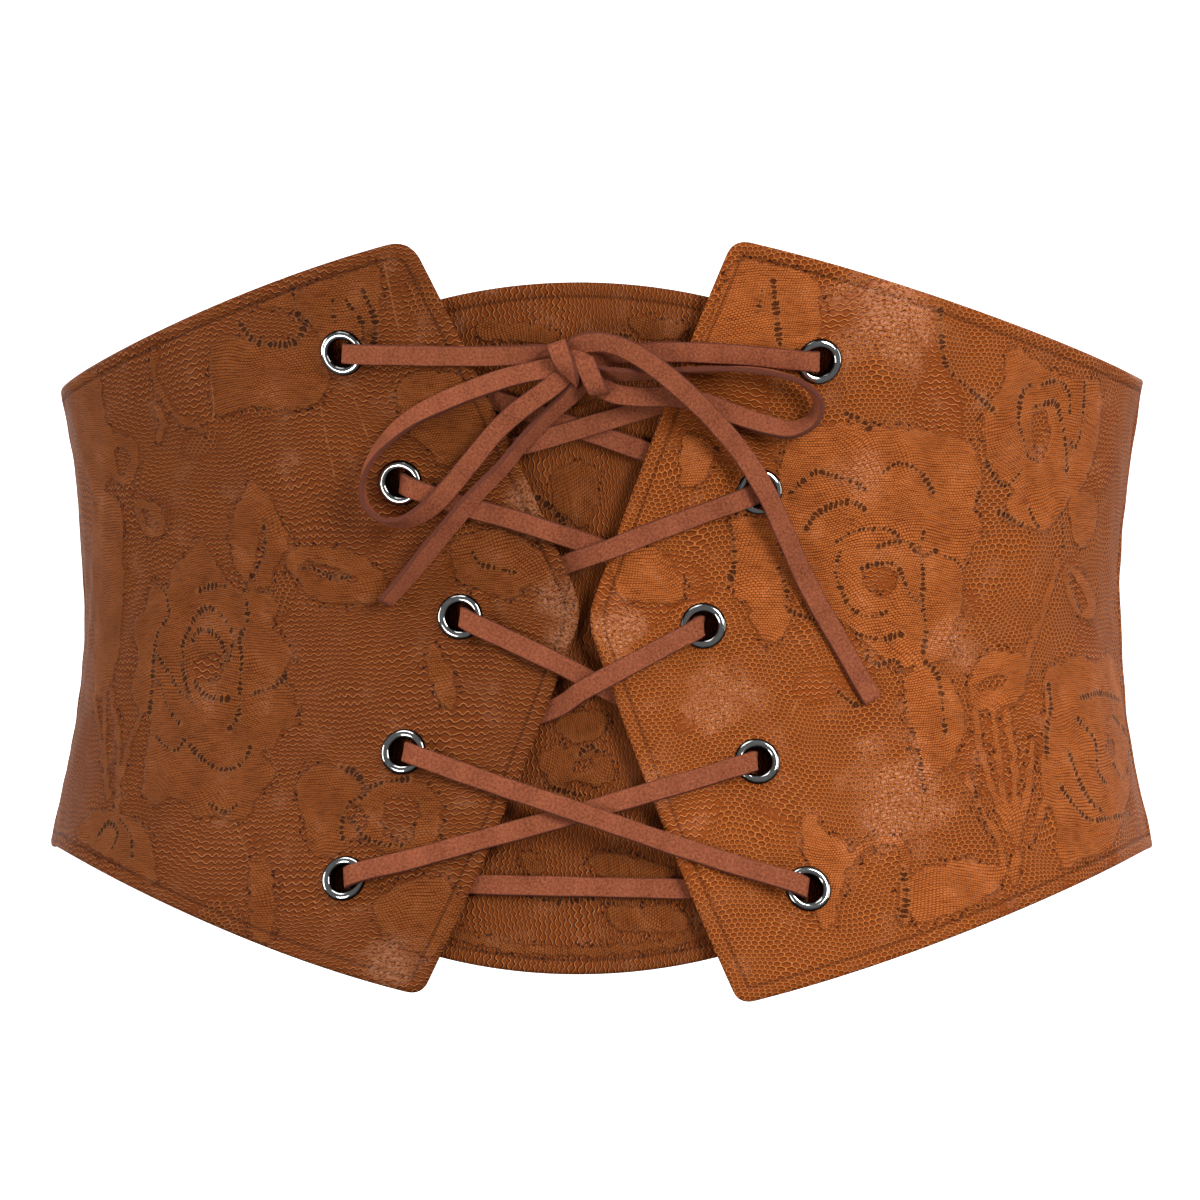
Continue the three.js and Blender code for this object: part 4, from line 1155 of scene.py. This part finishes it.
class Finish:
    """A material with a Principled shader, and short names for the nodes that feed it."""

    def __init__(self, name):
        self.material = bpy.data.materials.new(name)
        self.material.use_nodes = True
        self.tree = self.material.node_tree
        self.shader = self.tree.nodes["Principled BSDF"]

    def link(self, value, socket):
        if isinstance(value, Value):
            self.tree.links.new(value.socket, socket)
        elif socket.type == "RGBA" and len(value) == 3:
            socket.default_value = (*value, 1)
        else:
            socket.default_value = value

    def math(self, operation, *values):
        node = self.tree.nodes.new("ShaderNodeMath")
        node.operation = operation
        for value, socket in zip(values, node.inputs):
            self.link(value, socket)
        return Value(self, node.outputs[0])

    def attribute(self, name, output="Vector"):
        node = self.tree.nodes.new("ShaderNodeAttribute")
        node.attribute_name = name
        return Value(self, node.outputs[output])

    def split(self, vector):
        node = self.tree.nodes.new("ShaderNodeSeparateXYZ")
        self.link(vector, node.inputs[0])
        return [Value(self, output) for output in node.outputs]

    def join(self, x, y, z=0.0):
        node = self.tree.nodes.new("ShaderNodeCombineXYZ")
        for value, socket in zip((x, y, z), node.inputs):
            self.link(value, socket)
        return Value(self, node.outputs[0])

    def place(self):
        node = self.tree.nodes.new("ShaderNodeTexCoord")
        return Value(self, node.outputs["Object"])

    def noise(self, vector, scale, detail=2.0, roughness=0.5):
        node = self.tree.nodes.new("ShaderNodeTexNoise")
        node.inputs["Scale"].default_value = scale
        node.inputs["Detail"].default_value = detail
        node.inputs["Roughness"].default_value = roughness
        self.link(vector, node.inputs["Vector"])
        return Value(self, node.outputs["Fac"])

    def cells(self, vector, scale):
        node = self.tree.nodes.new("ShaderNodeTexVoronoi")
        node.inputs["Scale"].default_value = scale
        self.link(vector, node.inputs["Vector"])
        return Value(self, node.outputs["Distance"])

    def chance(self, value):
        node = self.tree.nodes.new("ShaderNodeTexWhiteNoise")
        node.noise_dimensions = "1D"
        self.link(value, node.inputs["W"])
        return Value(self, node.outputs["Value"])

    def ramp(self, value, low, high, start=0.0, end=1.0):
        """value moved smoothly from start to end as it goes from low to high."""
        node = self.tree.nodes.new("ShaderNodeMapRange")
        node.interpolation_type = "SMOOTHSTEP"
        for item, socket in zip((value, low, high, start, end), node.inputs):
            self.link(item, socket)
        return Value(self, node.outputs[0])

    def mixed(self, share, a, b):
        node = self.tree.nodes.new("ShaderNodeMix")
        node.data_type = "RGBA"
        self.link(share, node.inputs["Factor"])
        self.link(a, node.inputs[6])
        self.link(b, node.inputs[7])
        return Value(self, node.outputs[2])

    def bump(self, height, distance):
        node = self.tree.nodes.new("ShaderNodeBump")
        node.inputs["Distance"].default_value = distance
        node.inputs["Strength"].default_value = 1.0
        self.link(height, node.inputs["Height"])
        return Value(self, node.outputs[0])

    def waves(self, x, y):
        """Distance from a net's wavy threads, as a share of their pitch."""
        row = y / WAVE_PITCH
        sway = self.math("COSINE", x * (2 * math.pi / WAVE_LENGTH)) * self.math("COSINE", row * math.pi)
        return self.math("PINGPONG", row - sway * WAVE_DEPTH, 0.5)

    def hexes(self, x, y):
        """Distance from a honeycomb's sides, as a share of its cells' width."""
        a, b = x / HEX_WIDTH, y / HEX_HEIGHT
        first = [self.math("FRACT", a) - 0.5, (self.math("FRACT", b) - 0.5) * 1.732]
        second = [self.math("FRACT", a + 0.5) - 0.5, (self.math("FRACT", b + 0.5) - 0.5) * 1.732]
        near_first = first[0] * first[0] + first[1] * first[1]
        near_second = second[0] * second[0] + second[1] * second[1]
        pick = self.math("LESS_THAN", near_second, near_first)
        across, up = (self.math("ABSOLUTE", mix_values(pick, p, q)) for p, q in zip(first, second))
        return 0.5 - self.math("MAXIMUM", across, across * 0.5 + up * 0.866)

    def dashes(self, x, y):
        """A close weave of short stitches in rows, 0 on a stitch and 1 between them."""
        node = self.tree.nodes.new("ShaderNodeTexBrick")
        for key, value in (("Scale", 1.0), ("Mortar Size", 0.13), ("Mortar Smooth", 0.9),
                           ("Brick Width", STITCH_LENGTH), ("Row Height", STITCH_PITCH)):
            node.inputs[key].default_value = value
        self.link(self.join(x, y), node.inputs["Vector"])
        return Value(self, node.outputs["Fac"])

    def set(self, **sockets):
        for name, value in sockets.items():
            self.link(value, self.shader.inputs[name.replace("_", " ")])
        return self.material


def rgb(red, green, blue):
    """A colour as it looks on a screen, from 0 to 255, as the shader's linear colour."""
    def linear(value):
        value /= 255
        return value / 12.92 if value <= 0.04045 else ((value + 0.055) / 1.055) ** 2.4

    return linear(red), linear(green), linear(blue)


def mix_values(share, a, b):
    return share * (b - a) + a


def net_over(finish, along, height, kind):
    """A function for the net's cover, lowered by some millimetres: whole near a thread's middle, and none
    beyond its end, both as shares of the pitch."""
    x = along + (finish.noise(finish.join(along, height), 0.09, 1.0) - 0.5) * 6
    y = height + (finish.noise(finish.join(height, along), 0.08, 1.0) - 0.5) * 5

    def net(lower, whole, end):
        distance = mix_values(kind, finish.waves(x, y + lower), finish.hexes(x, y + lower) * 1.1)
        return 1 - finish.ramp(distance, whole, end)

    return net


def hole_rows(finish, place, height, run, row, fray):
    """The cover of the small holes along the chart's rows, and of the threads beside them."""
    step = run / HOLE_PITCH + (finish.noise(place, 0.5, 1.0) - 0.5) * 1.6
    luck = finish.chance(finish.math("FLOOR", step))
    open_row = finish.noise(finish.join(run * 0.05, height * 0.02), 1.0)
    half = finish.ramp(open_row + luck * 0.3, 0.5, 0.85, 0.36, 1.0)
    away = (finish.math("FRACT", step) - 0.5) * (HOLE_PITCH / 0.5)
    side = (row + fray * 0.5 - 0.25) / half
    reach = finish.math("SQRT", away * away + side * side)
    hole = (1 - finish.ramp(reach, 0.7, 1.15)) * finish.ramp(luck, 0.0, 0.4, 0.45, 1.0)
    return hole, (1 - finish.ramp(side, 0.9, 1.3)) * (1 - hole)


def lace_leather(name, hex_share, painted_light_tint, cloth_painted_light_tint, contrast=0.6, upright=False):
    """Leather under a lace overlay: the net, the woven motifs, their rows of holes and pale threads."""
    finish = Finish(name)
    along, height, cloth = finish.split(finish.attribute("weave"))
    run, row, thread = finish.split(finish.attribute("rows"))
    hem = finish.attribute("hem", "Fac")
    gloss_and_highlight_spots = finish.attribute("gloss_and_highlight_spots", "Fac")
    if upright:
        along, height = height, along * UPRIGHT_STRETCH
    place = finish.join(along, height)
    cloudy = finish.noise(place, 0.05, 3.0)
    patchy = finish.noise(place, 0.13, 2.0)
    fray = finish.noise(place, 1.9, 2.0)
    specks = finish.noise(place, 2.6, 1.0)
    crackle = finish.noise(place, 1.3, 3.0, 0.7)
    grain = finish.cells(place, 1.35)
    dots = 1 - finish.ramp(finish.cells(place, 0.85), 0.22, 0.4)

    kind = finish.ramp(finish.noise(place, 0.035, 1.0), 1.0 - hex_share, 1.05 - hex_share)
    net = net_over(finish, along, height, kind)
    threads = net(0, 0.04, 0.14)
    shadows = net(0.24, 0.05, 0.24)
    on_thread = threads * finish.ramp(fray, 0.25, 0.5, 0.6, 1.0)
    ragged = (finish.noise(place, 1.3) - 0.5) * 1.2 + (finish.noise(place, 0.4, 1.0) - 0.5) * 2.6
    border = cloth + ragged + on_thread * 0.5 - 0.2
    in_cloth = finish.ramp(border, -0.25, 0.25)
    sway = (finish.noise(place, 0.06, 1.0) - 0.5) * 7
    stitch = 1 - finish.dashes(along + height * 0.12 + sway, height - along * 0.12 + sway)
    streaks = finish.noise(finish.join(along * 0.3, height * 2.0), 1.0, 3.0)
    hole, bars = hole_rows(finish, place, height, run, row, fray)
    pale = (1 - finish.ramp(thread, 0.08, 0.32)) * finish.ramp(finish.noise(place, 0.35), 0.3, 0.5)
    shade = finish.ramp(border, -2.2, -0.6) * (1 - in_cloth) * finish.ramp(patchy, 0.35, 0.5)
    rim_distance = finish.math("ABSOLUTE", border - 0.4)
    rim = (1 - finish.ramp(rim_distance, 0.1, 0.4)) * finish.ramp(fray, 0.4, 0.65)
    # Painted shade along the valley where the hem is sewn down
    hem_valley_shade = 1 - finish.ramp(finish.math("ABSOLUTE", hem - HEM_WIDTH), 0.1, 0.6)
    # Painted highlight on the glossy leather between the net's threads; the same mask also raises the coat
    gloss_and_painted_highlight = finish.ramp(gloss_and_highlight_spots + patchy * 1.8 + fray * 0.4 - 1.15, 0.0, 0.8) * (1 - net(0, 0.1, 0.24))

    # Every colour is scaled by the tint: painted light and shade that makes one panel brighter than another
    def tinted(colour, share=painted_light_tint):
        return rgb(*(channel * share for channel in colour))

    leather = finish.mixed(cloudy, tinted(LEATHER_DARK), tinted(LEATHER_LIGHT))
    # Painted shadow under each thread of the net
    leather = finish.mixed(shadows * contrast, leather, tinted(PAINTED_SHADE_COLOUR))
    thread_colour = finish.mixed(kind, tinted(WAVE_THREAD), tinted(HEX_THREAD))
    netted = finish.mixed(on_thread, leather, thread_colour)
    tone = stitch * 0.6 + finish.ramp(streaks, 0.3, 0.55) * 0.3 + patchy * 0.6 + specks * 0.9 - 0.85
    woven = finish.mixed(tone, tinted(CLOTH_DARK, cloth_painted_light_tint), tinted(CLOTH_LIGHT, cloth_painted_light_tint))
    colour = finish.mixed(in_cloth, netted, woven)
    # Layers over the colour: painted shade beside the motifs, pale cords and threads, painted shade in the
    # holes and the hem's valley, and painted highlights on glossy leather
    for cover, layer in ((shade * dots, PAINTED_SHADE_COLOUR), (rim * 0.3, PALE_THREAD), (pale * 0.85, PALE_THREAD),
                         (bars * 0.4, PALE_THREAD), (hole * 0.8, PAINTED_SHADE_COLOUR), (hem_valley_shade * 0.45, PAINTED_SHADE_COLOUR),
                         (gloss_and_painted_highlight * finish.ramp(crackle, 0.42, 0.56) * 0.62, PAINTED_HIGHLIGHT)):
        colour = finish.mixed(cover, colour, tinted(layer))

    woven_relief = stitch * 0.6 + specks * 0.6 + streaks * 0.3 + 0.6
    relief = mix_values(in_cloth, on_thread * 0.9 + grain * 0.25, woven_relief)
    relief = relief + pale * 0.8 + bars * 0.5 + rim * 0.3 - hole * 1.2
    smoothness = finish.math("MAXIMUM", (1 - in_cloth) * (1 - on_thread) * 0.1, gloss_and_painted_highlight * 0.2)
    return finish.set(Base_Color=colour, Roughness=0.75, Normal=finish.bump(relief, 0.00022),
                      Specular_IOR_Level=CLOTH_GLOSS, Sheen_Weight=0.3, Sheen_Roughness=0.18,
                      Sheen_Tint=(1.0, 0.62, 0.46, 1.0), Coat_Weight=smoothness, Coat_Roughness=0.2,
                      Coat_Normal=finish.bump(crackle * 2.0 + threads * 0.6, 0.0003))


def suede():
    finish = Finish("lace_suede")
    across, run, deep = finish.split(finish.attribute("strip"))
    place = finish.join(across, run, deep)
    cut = finish.ramp(finish.math("ABSOLUTE", across), LACE_WIDTH / 2 - 0.3, LACE_WIDTH / 2 - 0.1)
    nap = finish.noise(place, 1.7, 4.0, 0.75)
    cloudy = finish.noise(finish.join(across * 0.3, run, deep), 0.18, 2.0)
    tone = finish.ramp(nap, 0.28, 0.72) * 0.75 + cloudy * 0.5 - 0.1
    face = finish.mixed(tone, rgb(*SUEDE_DARK), rgb(*SUEDE_LIGHT))
    colour = finish.mixed(cut * finish.ramp(nap, 0.3, 0.6, 0.6, 1.0), face, rgb(*SUEDE_EDGE))
    return finish.set(Base_Color=colour, Roughness=0.9, Normal=finish.bump(nap, 0.00025),
                      Specular_IOR_Level=0.06, Sheen_Weight=0.06, Sheen_Roughness=0.35,
                      Sheen_Tint=(0.9, 0.42, 0.3, 1.0))


def nickel():
    finish = Finish("eyelet_nickel")
    place = finish.place()
    haze = finish.noise(place, 900.0, 3.0)
    flank = finish.attribute("flank", "Fac")
    bright = finish.mixed(haze, rgb(*NICKEL_DARK), rgb(*NICKEL_LIGHT))
    # The rim's flanks get a painted dark reflection; the crown stays bright nickel
    colour = finish.mixed(finish.ramp(flank + haze * 0.3, 0.5, 0.95), bright, rgb(*NICKEL_PAINTED_REFLECTION))
    return finish.set(Base_Color=colour, Metallic=1.0, Roughness=finish.ramp(haze, 0.3, 0.7, 0.07, 0.13),
                      Normal=finish.bump(finish.noise(place, 500.0), 0.00003))


def elastic():
    finish = Finish("back_elastic")
    along, height, _ = finish.split(finish.attribute("weave"))
    rib = finish.math("PINGPONG", height / RIB_PITCH, 0.5)
    twist = finish.dashes(along, height)
    nap = finish.noise(finish.join(along, height), 1.5, 3.0)
    colour = finish.mixed(rib * 1.1 + nap * 0.4, rgb(*ELASTIC_DARK), rgb(*ELASTIC_LIGHT))
    return finish.set(Base_Color=colour, Roughness=0.85,
                      Normal=finish.bump(rib * 1.6 + twist * 0.8 + nap * 0.3, 0.0003),
                      Specular_IOR_Level=0.1)


# Scene

scene = bpy.context.scene
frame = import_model()
BODY = next(iter(frame["bodies"]))


def corners():
    return [list(corner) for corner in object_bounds()]


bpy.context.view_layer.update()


def look_at(thing, target):
    thing.rotation_euler = (Vector(target) - thing.location).to_track_quat("-Z", "Y").to_euler()


camera = bpy.data.objects.new("camera", bpy.data.cameras.new("camera"))
scene.collection.objects.link(camera)
turn = math.radians(CAMERA_AZIMUTH)
camera.location = (CAMERA_DISTANCE * math.sin(turn), -CAMERA_DISTANCE * math.cos(turn), CAMERA_HEIGHT)
look_at(camera, (0, 0, CAMERA_HEIGHT))
camera.data.sensor_width = SENSOR_WIDTH
camera.data.lens = SENSOR_WIDTH * CAMERA_DISTANCE / VIEW_WIDTH
camera.data.shift_x = CAMERA_SHIFT
camera.data.clip_end = 20
scene.camera = camera

# Lace and bow

SUEDE = suede()
for name, rows in BOW.items():
    strand, centre = lace_piece(name + "_suede", rolled_route(rows), SUEDE, BODY, name)
    path = [tuple(point * MM) for point in centre]
    "bare" if "tail" in name else "object"

lace_piece("lacing_suede", lacing_route(), SUEDE, BODY, "lacing")[0]


def knot_core():
    turns = np.linspace(0, 2 * math.pi, 49)[:-1]
    rises = np.linspace(0, math.pi, 26)[1:-1]
    x = np.sin(rises)[:, None] * np.cos(turns) * KNOT_RADII[0]
    y = np.sin(rises)[:, None] * np.sin(turns) * KNOT_RADII[1]
    z = np.cos(rises)[:, None] * KNOT_RADII[2] + 0 * x
    ball = np.stack([x, y, z], -1).reshape(-1, 3)
    ball = np.concatenate([ball, [[0, 0, KNOT_RADII[2]], [0, 0, -KNOT_RADII[2]]]])
    angle = math.radians(KNOT_TURN)
    a = ball[:, 0] * math.cos(angle) - ball[:, 1] * math.sin(angle)
    b = ball[:, 0] * math.sin(angle) + ball[:, 1] * math.cos(angle)
    point, round_, up, out = place_on(*KNOT_CENTRE)
    vertices = point + a[:, None] * round_ + b[:, None] * up + ball[:, 2:] * out
    count = len(turns)
    faces = ring_faces(len(rises), count)[:, [0, 3, 2, 1]].tolist()
    last = len(vertices) - 2
    ring = len(vertices) - 2 - count
    for k in range(count):
        faces.append([last, k, (k + 1) % count])
        faces.append([last + 1, ring + (k + 1) % count, ring + k])
    return vertices, faces, ball * (0.3, 1, 1)


core_vertices, core_faces, core_cloth = knot_core()
core = mesh_piece("knot_core_suede", core_vertices, core_faces, BODY, SUEDE, "bow_knot")
add_attribute(core, "strip", core_cloth)
for number, route in enumerate(KNOT_WRAPS, 1):
    wrap = lace_piece(f"knot_wrap_{number}_suede", route, SUEDE, BODY)[0]

# Eyelets

NICKEL = nickel()


def eyelet_profile():
    front = PANEL_THICKNESS + GAP
    arc = np.radians(np.linspace(0, 180, 25))
    radius = mix(BORE_RADIUS, RIM_RADIUS, (1 + np.cos(arc)) / 2)
    rim = np.stack([radius, front + RIM_HEIGHT * np.sin(arc)], -1)
    edge = BACK_RIM_HEIGHT / 2
    arc = np.radians(np.linspace(0, 90, 7))
    inner = np.stack([BORE_RADIUS + edge * (1 - np.cos(arc)), -GAP - BACK_RIM_HEIGHT * np.sin(arc)], -1)
    outer = np.stack([RIM_RADIUS - edge * (1 - np.sin(arc)), -GAP - BACK_RIM_HEIGHT * np.cos(arc)], -1)
    barrel = [[BORE_RADIUS + EYELET_WALL, -GAP], [BORE_RADIUS + EYELET_WALL, front]]
    bore = np.stack([np.full(5, BORE_RADIUS), np.linspace(front, -GAP, 5)], -1)[1:-1]
    return np.concatenate([barrel, rim, bore, inner, outer])


EYELET_PROFILE = eyelet_profile()
RIM_MIDDLE = (BORE_RADIUS + RIM_RADIUS) / 2
# How near each profile point lies to the rim's flanks, where a dark reflection is painted
FLANK = np.abs(EYELET_PROFILE[:, 0] - RIM_MIDDLE) / (RIM_WIDTH / 2) * (EYELET_PROFILE[:, 1] > 0)


def eyelet_mesh(place):
    point, round_, up, out = place_on(*place, 0)
    turns = np.linspace(0, 2 * math.pi, EYELET_SIDES + 1)[:-1]
    ray = np.cos(turns)[:, None] * round_ + np.sin(turns)[:, None] * up
    vertices = point + ray[:, None] * EYELET_PROFILE[None, :, :1] + out * EYELET_PROFILE[None, :, 1:]
    faces = ring_faces(EYELET_SIDES, len(EYELET_PROFILE), wrapped=True)
    return vertices.reshape(-1, 3), faces.tolist()


for name in PANELS:
    for row in range(len(EYELET_ROWS)):
        node = f"eyelet_{name}_{row + 1}"
        vertices, faces = eyelet_mesh(eyelet_place(name, row))
        eyelet = mesh_piece(node + "_nickel", vertices, faces, BODY, NICKEL, node)
        add_attribute(eyelet, "flank", np.tile(FLANK, EYELET_SIDES))

# Front panels

# The left panel's colours are scaled darker and the right panel's brighter, as painted shade and light from
# the lamp on the right
LEATHER = {
    "left": lace_leather("panel_leather_left", 0.38, 0.82, 0.8, contrast=0.75),
    "right": lace_leather("panel_leather_right", 0.6, 1.03, 1.06),
}
for name, panel in PANELS.items():
    top, bottom, centre, seam = side_lines(panel)
    edges = np.concatenate([bottom, seam[1:], top[::-1], centre[::-1]])
    places = [eyelet_place(name, row) for row in range(len(EYELET_ROWS))]
    grids = (panel_points(panel, *FRONT_GRID), panel_points(panel, *FRONT_BACK_GRID))
    leather = sewn_panel(f"panel_{name}_leather", grids, lambda along: PANEL_THICKNESS, PANEL_THICKNESS,
                         edges, LACE_CHART[name], LEATHER[name], f"front_panel_{name}", BODY,
                         PANEL_SEEDS[name], places)
    span = SIDE_SEAM - panel["side"] * tip_of(panel)[0]

# Modesty panel

MODESTY_LEVEL = BEHIND - LACE_THICKNESS / 2 - 1.5 * GAP
LAST_EYELET = max(abs(eyelet_place(name, row)[0]) for name in PANELS for row in range(len(EYELET_ROWS)))
MODESTY_STEP_START = LAST_EYELET + RIM_RADIUS + 2 * GAP
MODESTY_HALF = MODESTY_STEP_START + MODESTY_STEP + MODESTY_SEAT


def modesty_level(along):
    return mix(MODESTY_LEVEL, -GAP, smooth((np.abs(along) - MODESTY_STEP_START) / MODESTY_STEP))


def modesty_edges(share):
    return (MODESTY_BOTTOM + MODESTY_BOTTOM_DROP * share**2, MODESTY_TOP - MODESTY_TOP_DROP * share**2)


def modesty_points(columns, rows):
    share = 2 * shares_of(columns, 2 * MODESTY_HALF) - 1
    v = shares_of(rows, MODESTY_TOP - MODESTY_BOTTOM)[:, None]
    low, high = modesty_edges(share[None])
    return np.stack([MODESTY_HALF * share[None] + 0 * v, mix(low, high, v)], -1)


border = border_of(modesty_points(60, 60))
# The lining's colours are scaled darker by its tint as well, as painted shade
LINING = lace_leather("modesty_leather", 0.2, 0.86, 0.8, contrast=0.9, upright=True)
modesty = sewn_panel("modesty_panel_leather",
                     (modesty_points(*MODESTY_GRID), modesty_points(*MODESTY_BACK_GRID)), modesty_level,
                     MODESTY_THICKNESS, border, MODESTY_CHART, LINING, "modesty_panel", BODY,
                     MODESTY_SEED, relief=0.3)
2 * MODESTY_HALF * MM

# Back panel

ELASTIC = elastic()
BACK_HEIGHT = PANELS["right"]["top"]["seam"] - PANELS["right"]["bottom"]["seam"] - 2 * BACK_MARGIN


def back_points(columns, rows):
    start = SIDE_SEAM - BACK_LAP
    right, left = PANELS["right"], PANELS["left"]
    u = shares_of(columns, GIRTH - 2 * start)[None]
    v = shares_of(rows, BACK_HEIGHT)[:, None]
    low = mix(right["bottom"]["seam"], left["bottom"]["seam"], u) + BACK_MARGIN
    high = mix(right["top"]["seam"], left["top"]["seam"], u) - BACK_MARGIN
    return np.stack([mix(start, GIRTH - start, u) + 0 * v, mix(low, high, v)], -1)


border = border_of(back_points(60, 30))
back = sewn_panel("back_panel_elastic", (back_points(*BACK_GRID), back_points(*BACK_BACK_GRID)),
                  lambda along: -GAP, BACK_THICKNESS, border, PLAIN_CHART, ELASTIC, "back_panel", BODY,
                  BACK_SEED, relief=0.2)

# Lights and backdrop


for name, (location, size, power) in LIGHTS.items():
    light = bpy.data.lights.new(name, "AREA")
    light.shape = "RECTANGLE"
    light.size, light.size_y = size
    light.energy = power
    thing = bpy.data.objects.new(name, light)
    thing.location = location
    look_at(thing, (0, 0, 0))
    scene.collection.objects.link(thing)


def backdrop():
    line = []
    for turn in np.radians(np.linspace(0, 90, 13)):
        line.append((BACKDROP_BACK - BACKDROP_BEND * (1 - math.sin(turn)),
                     FLOOR_HEIGHT + BACKDROP_BEND * (1 - math.cos(turn))))
    line.append((BACKDROP_BACK, BACKDROP_TOP))
    vertices = [(x, y, z) for x in (-BACKDROP_SIDE, BACKDROP_SIDE) for y, z in line]
    count = len(line)
    faces = [(i, i + 1, count + i + 1, count + i) for i in range(count - 1)]
    mesh = bpy.data.meshes.new("backdrop")
    mesh.from_pydata(vertices, [], faces)
    mesh.shade_smooth()
    finish = Finish("backdrop_white")
    tone = finish.noise(finish.place(), 0.8)
    mesh.materials.append(finish.set(
        Base_Color=finish.mixed(tone, (0.95, 0.95, 0.95), (1.0, 1.0, 1.0)), Roughness=0.9,
        Emission_Color=(1.0, 1.0, 1.0, 1.0), Emission_Strength=BACKDROP_GLOW))
    sweep = bpy.data.objects.new("backdrop", mesh)
    scene.collection.objects.link(sweep)
    sweep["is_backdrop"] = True


backdrop()
world = bpy.data.worlds.new("surroundings")
world.use_nodes = True
world.node_tree.nodes["Background"].inputs["Color"].default_value = SURROUNDINGS
world.node_tree.nodes["Background"].inputs["Strength"].default_value = SURROUNDINGS_STRENGTH
scene.world = world
scene.view_settings.view_transform = "Standard"
scene.view_settings.look = "None"
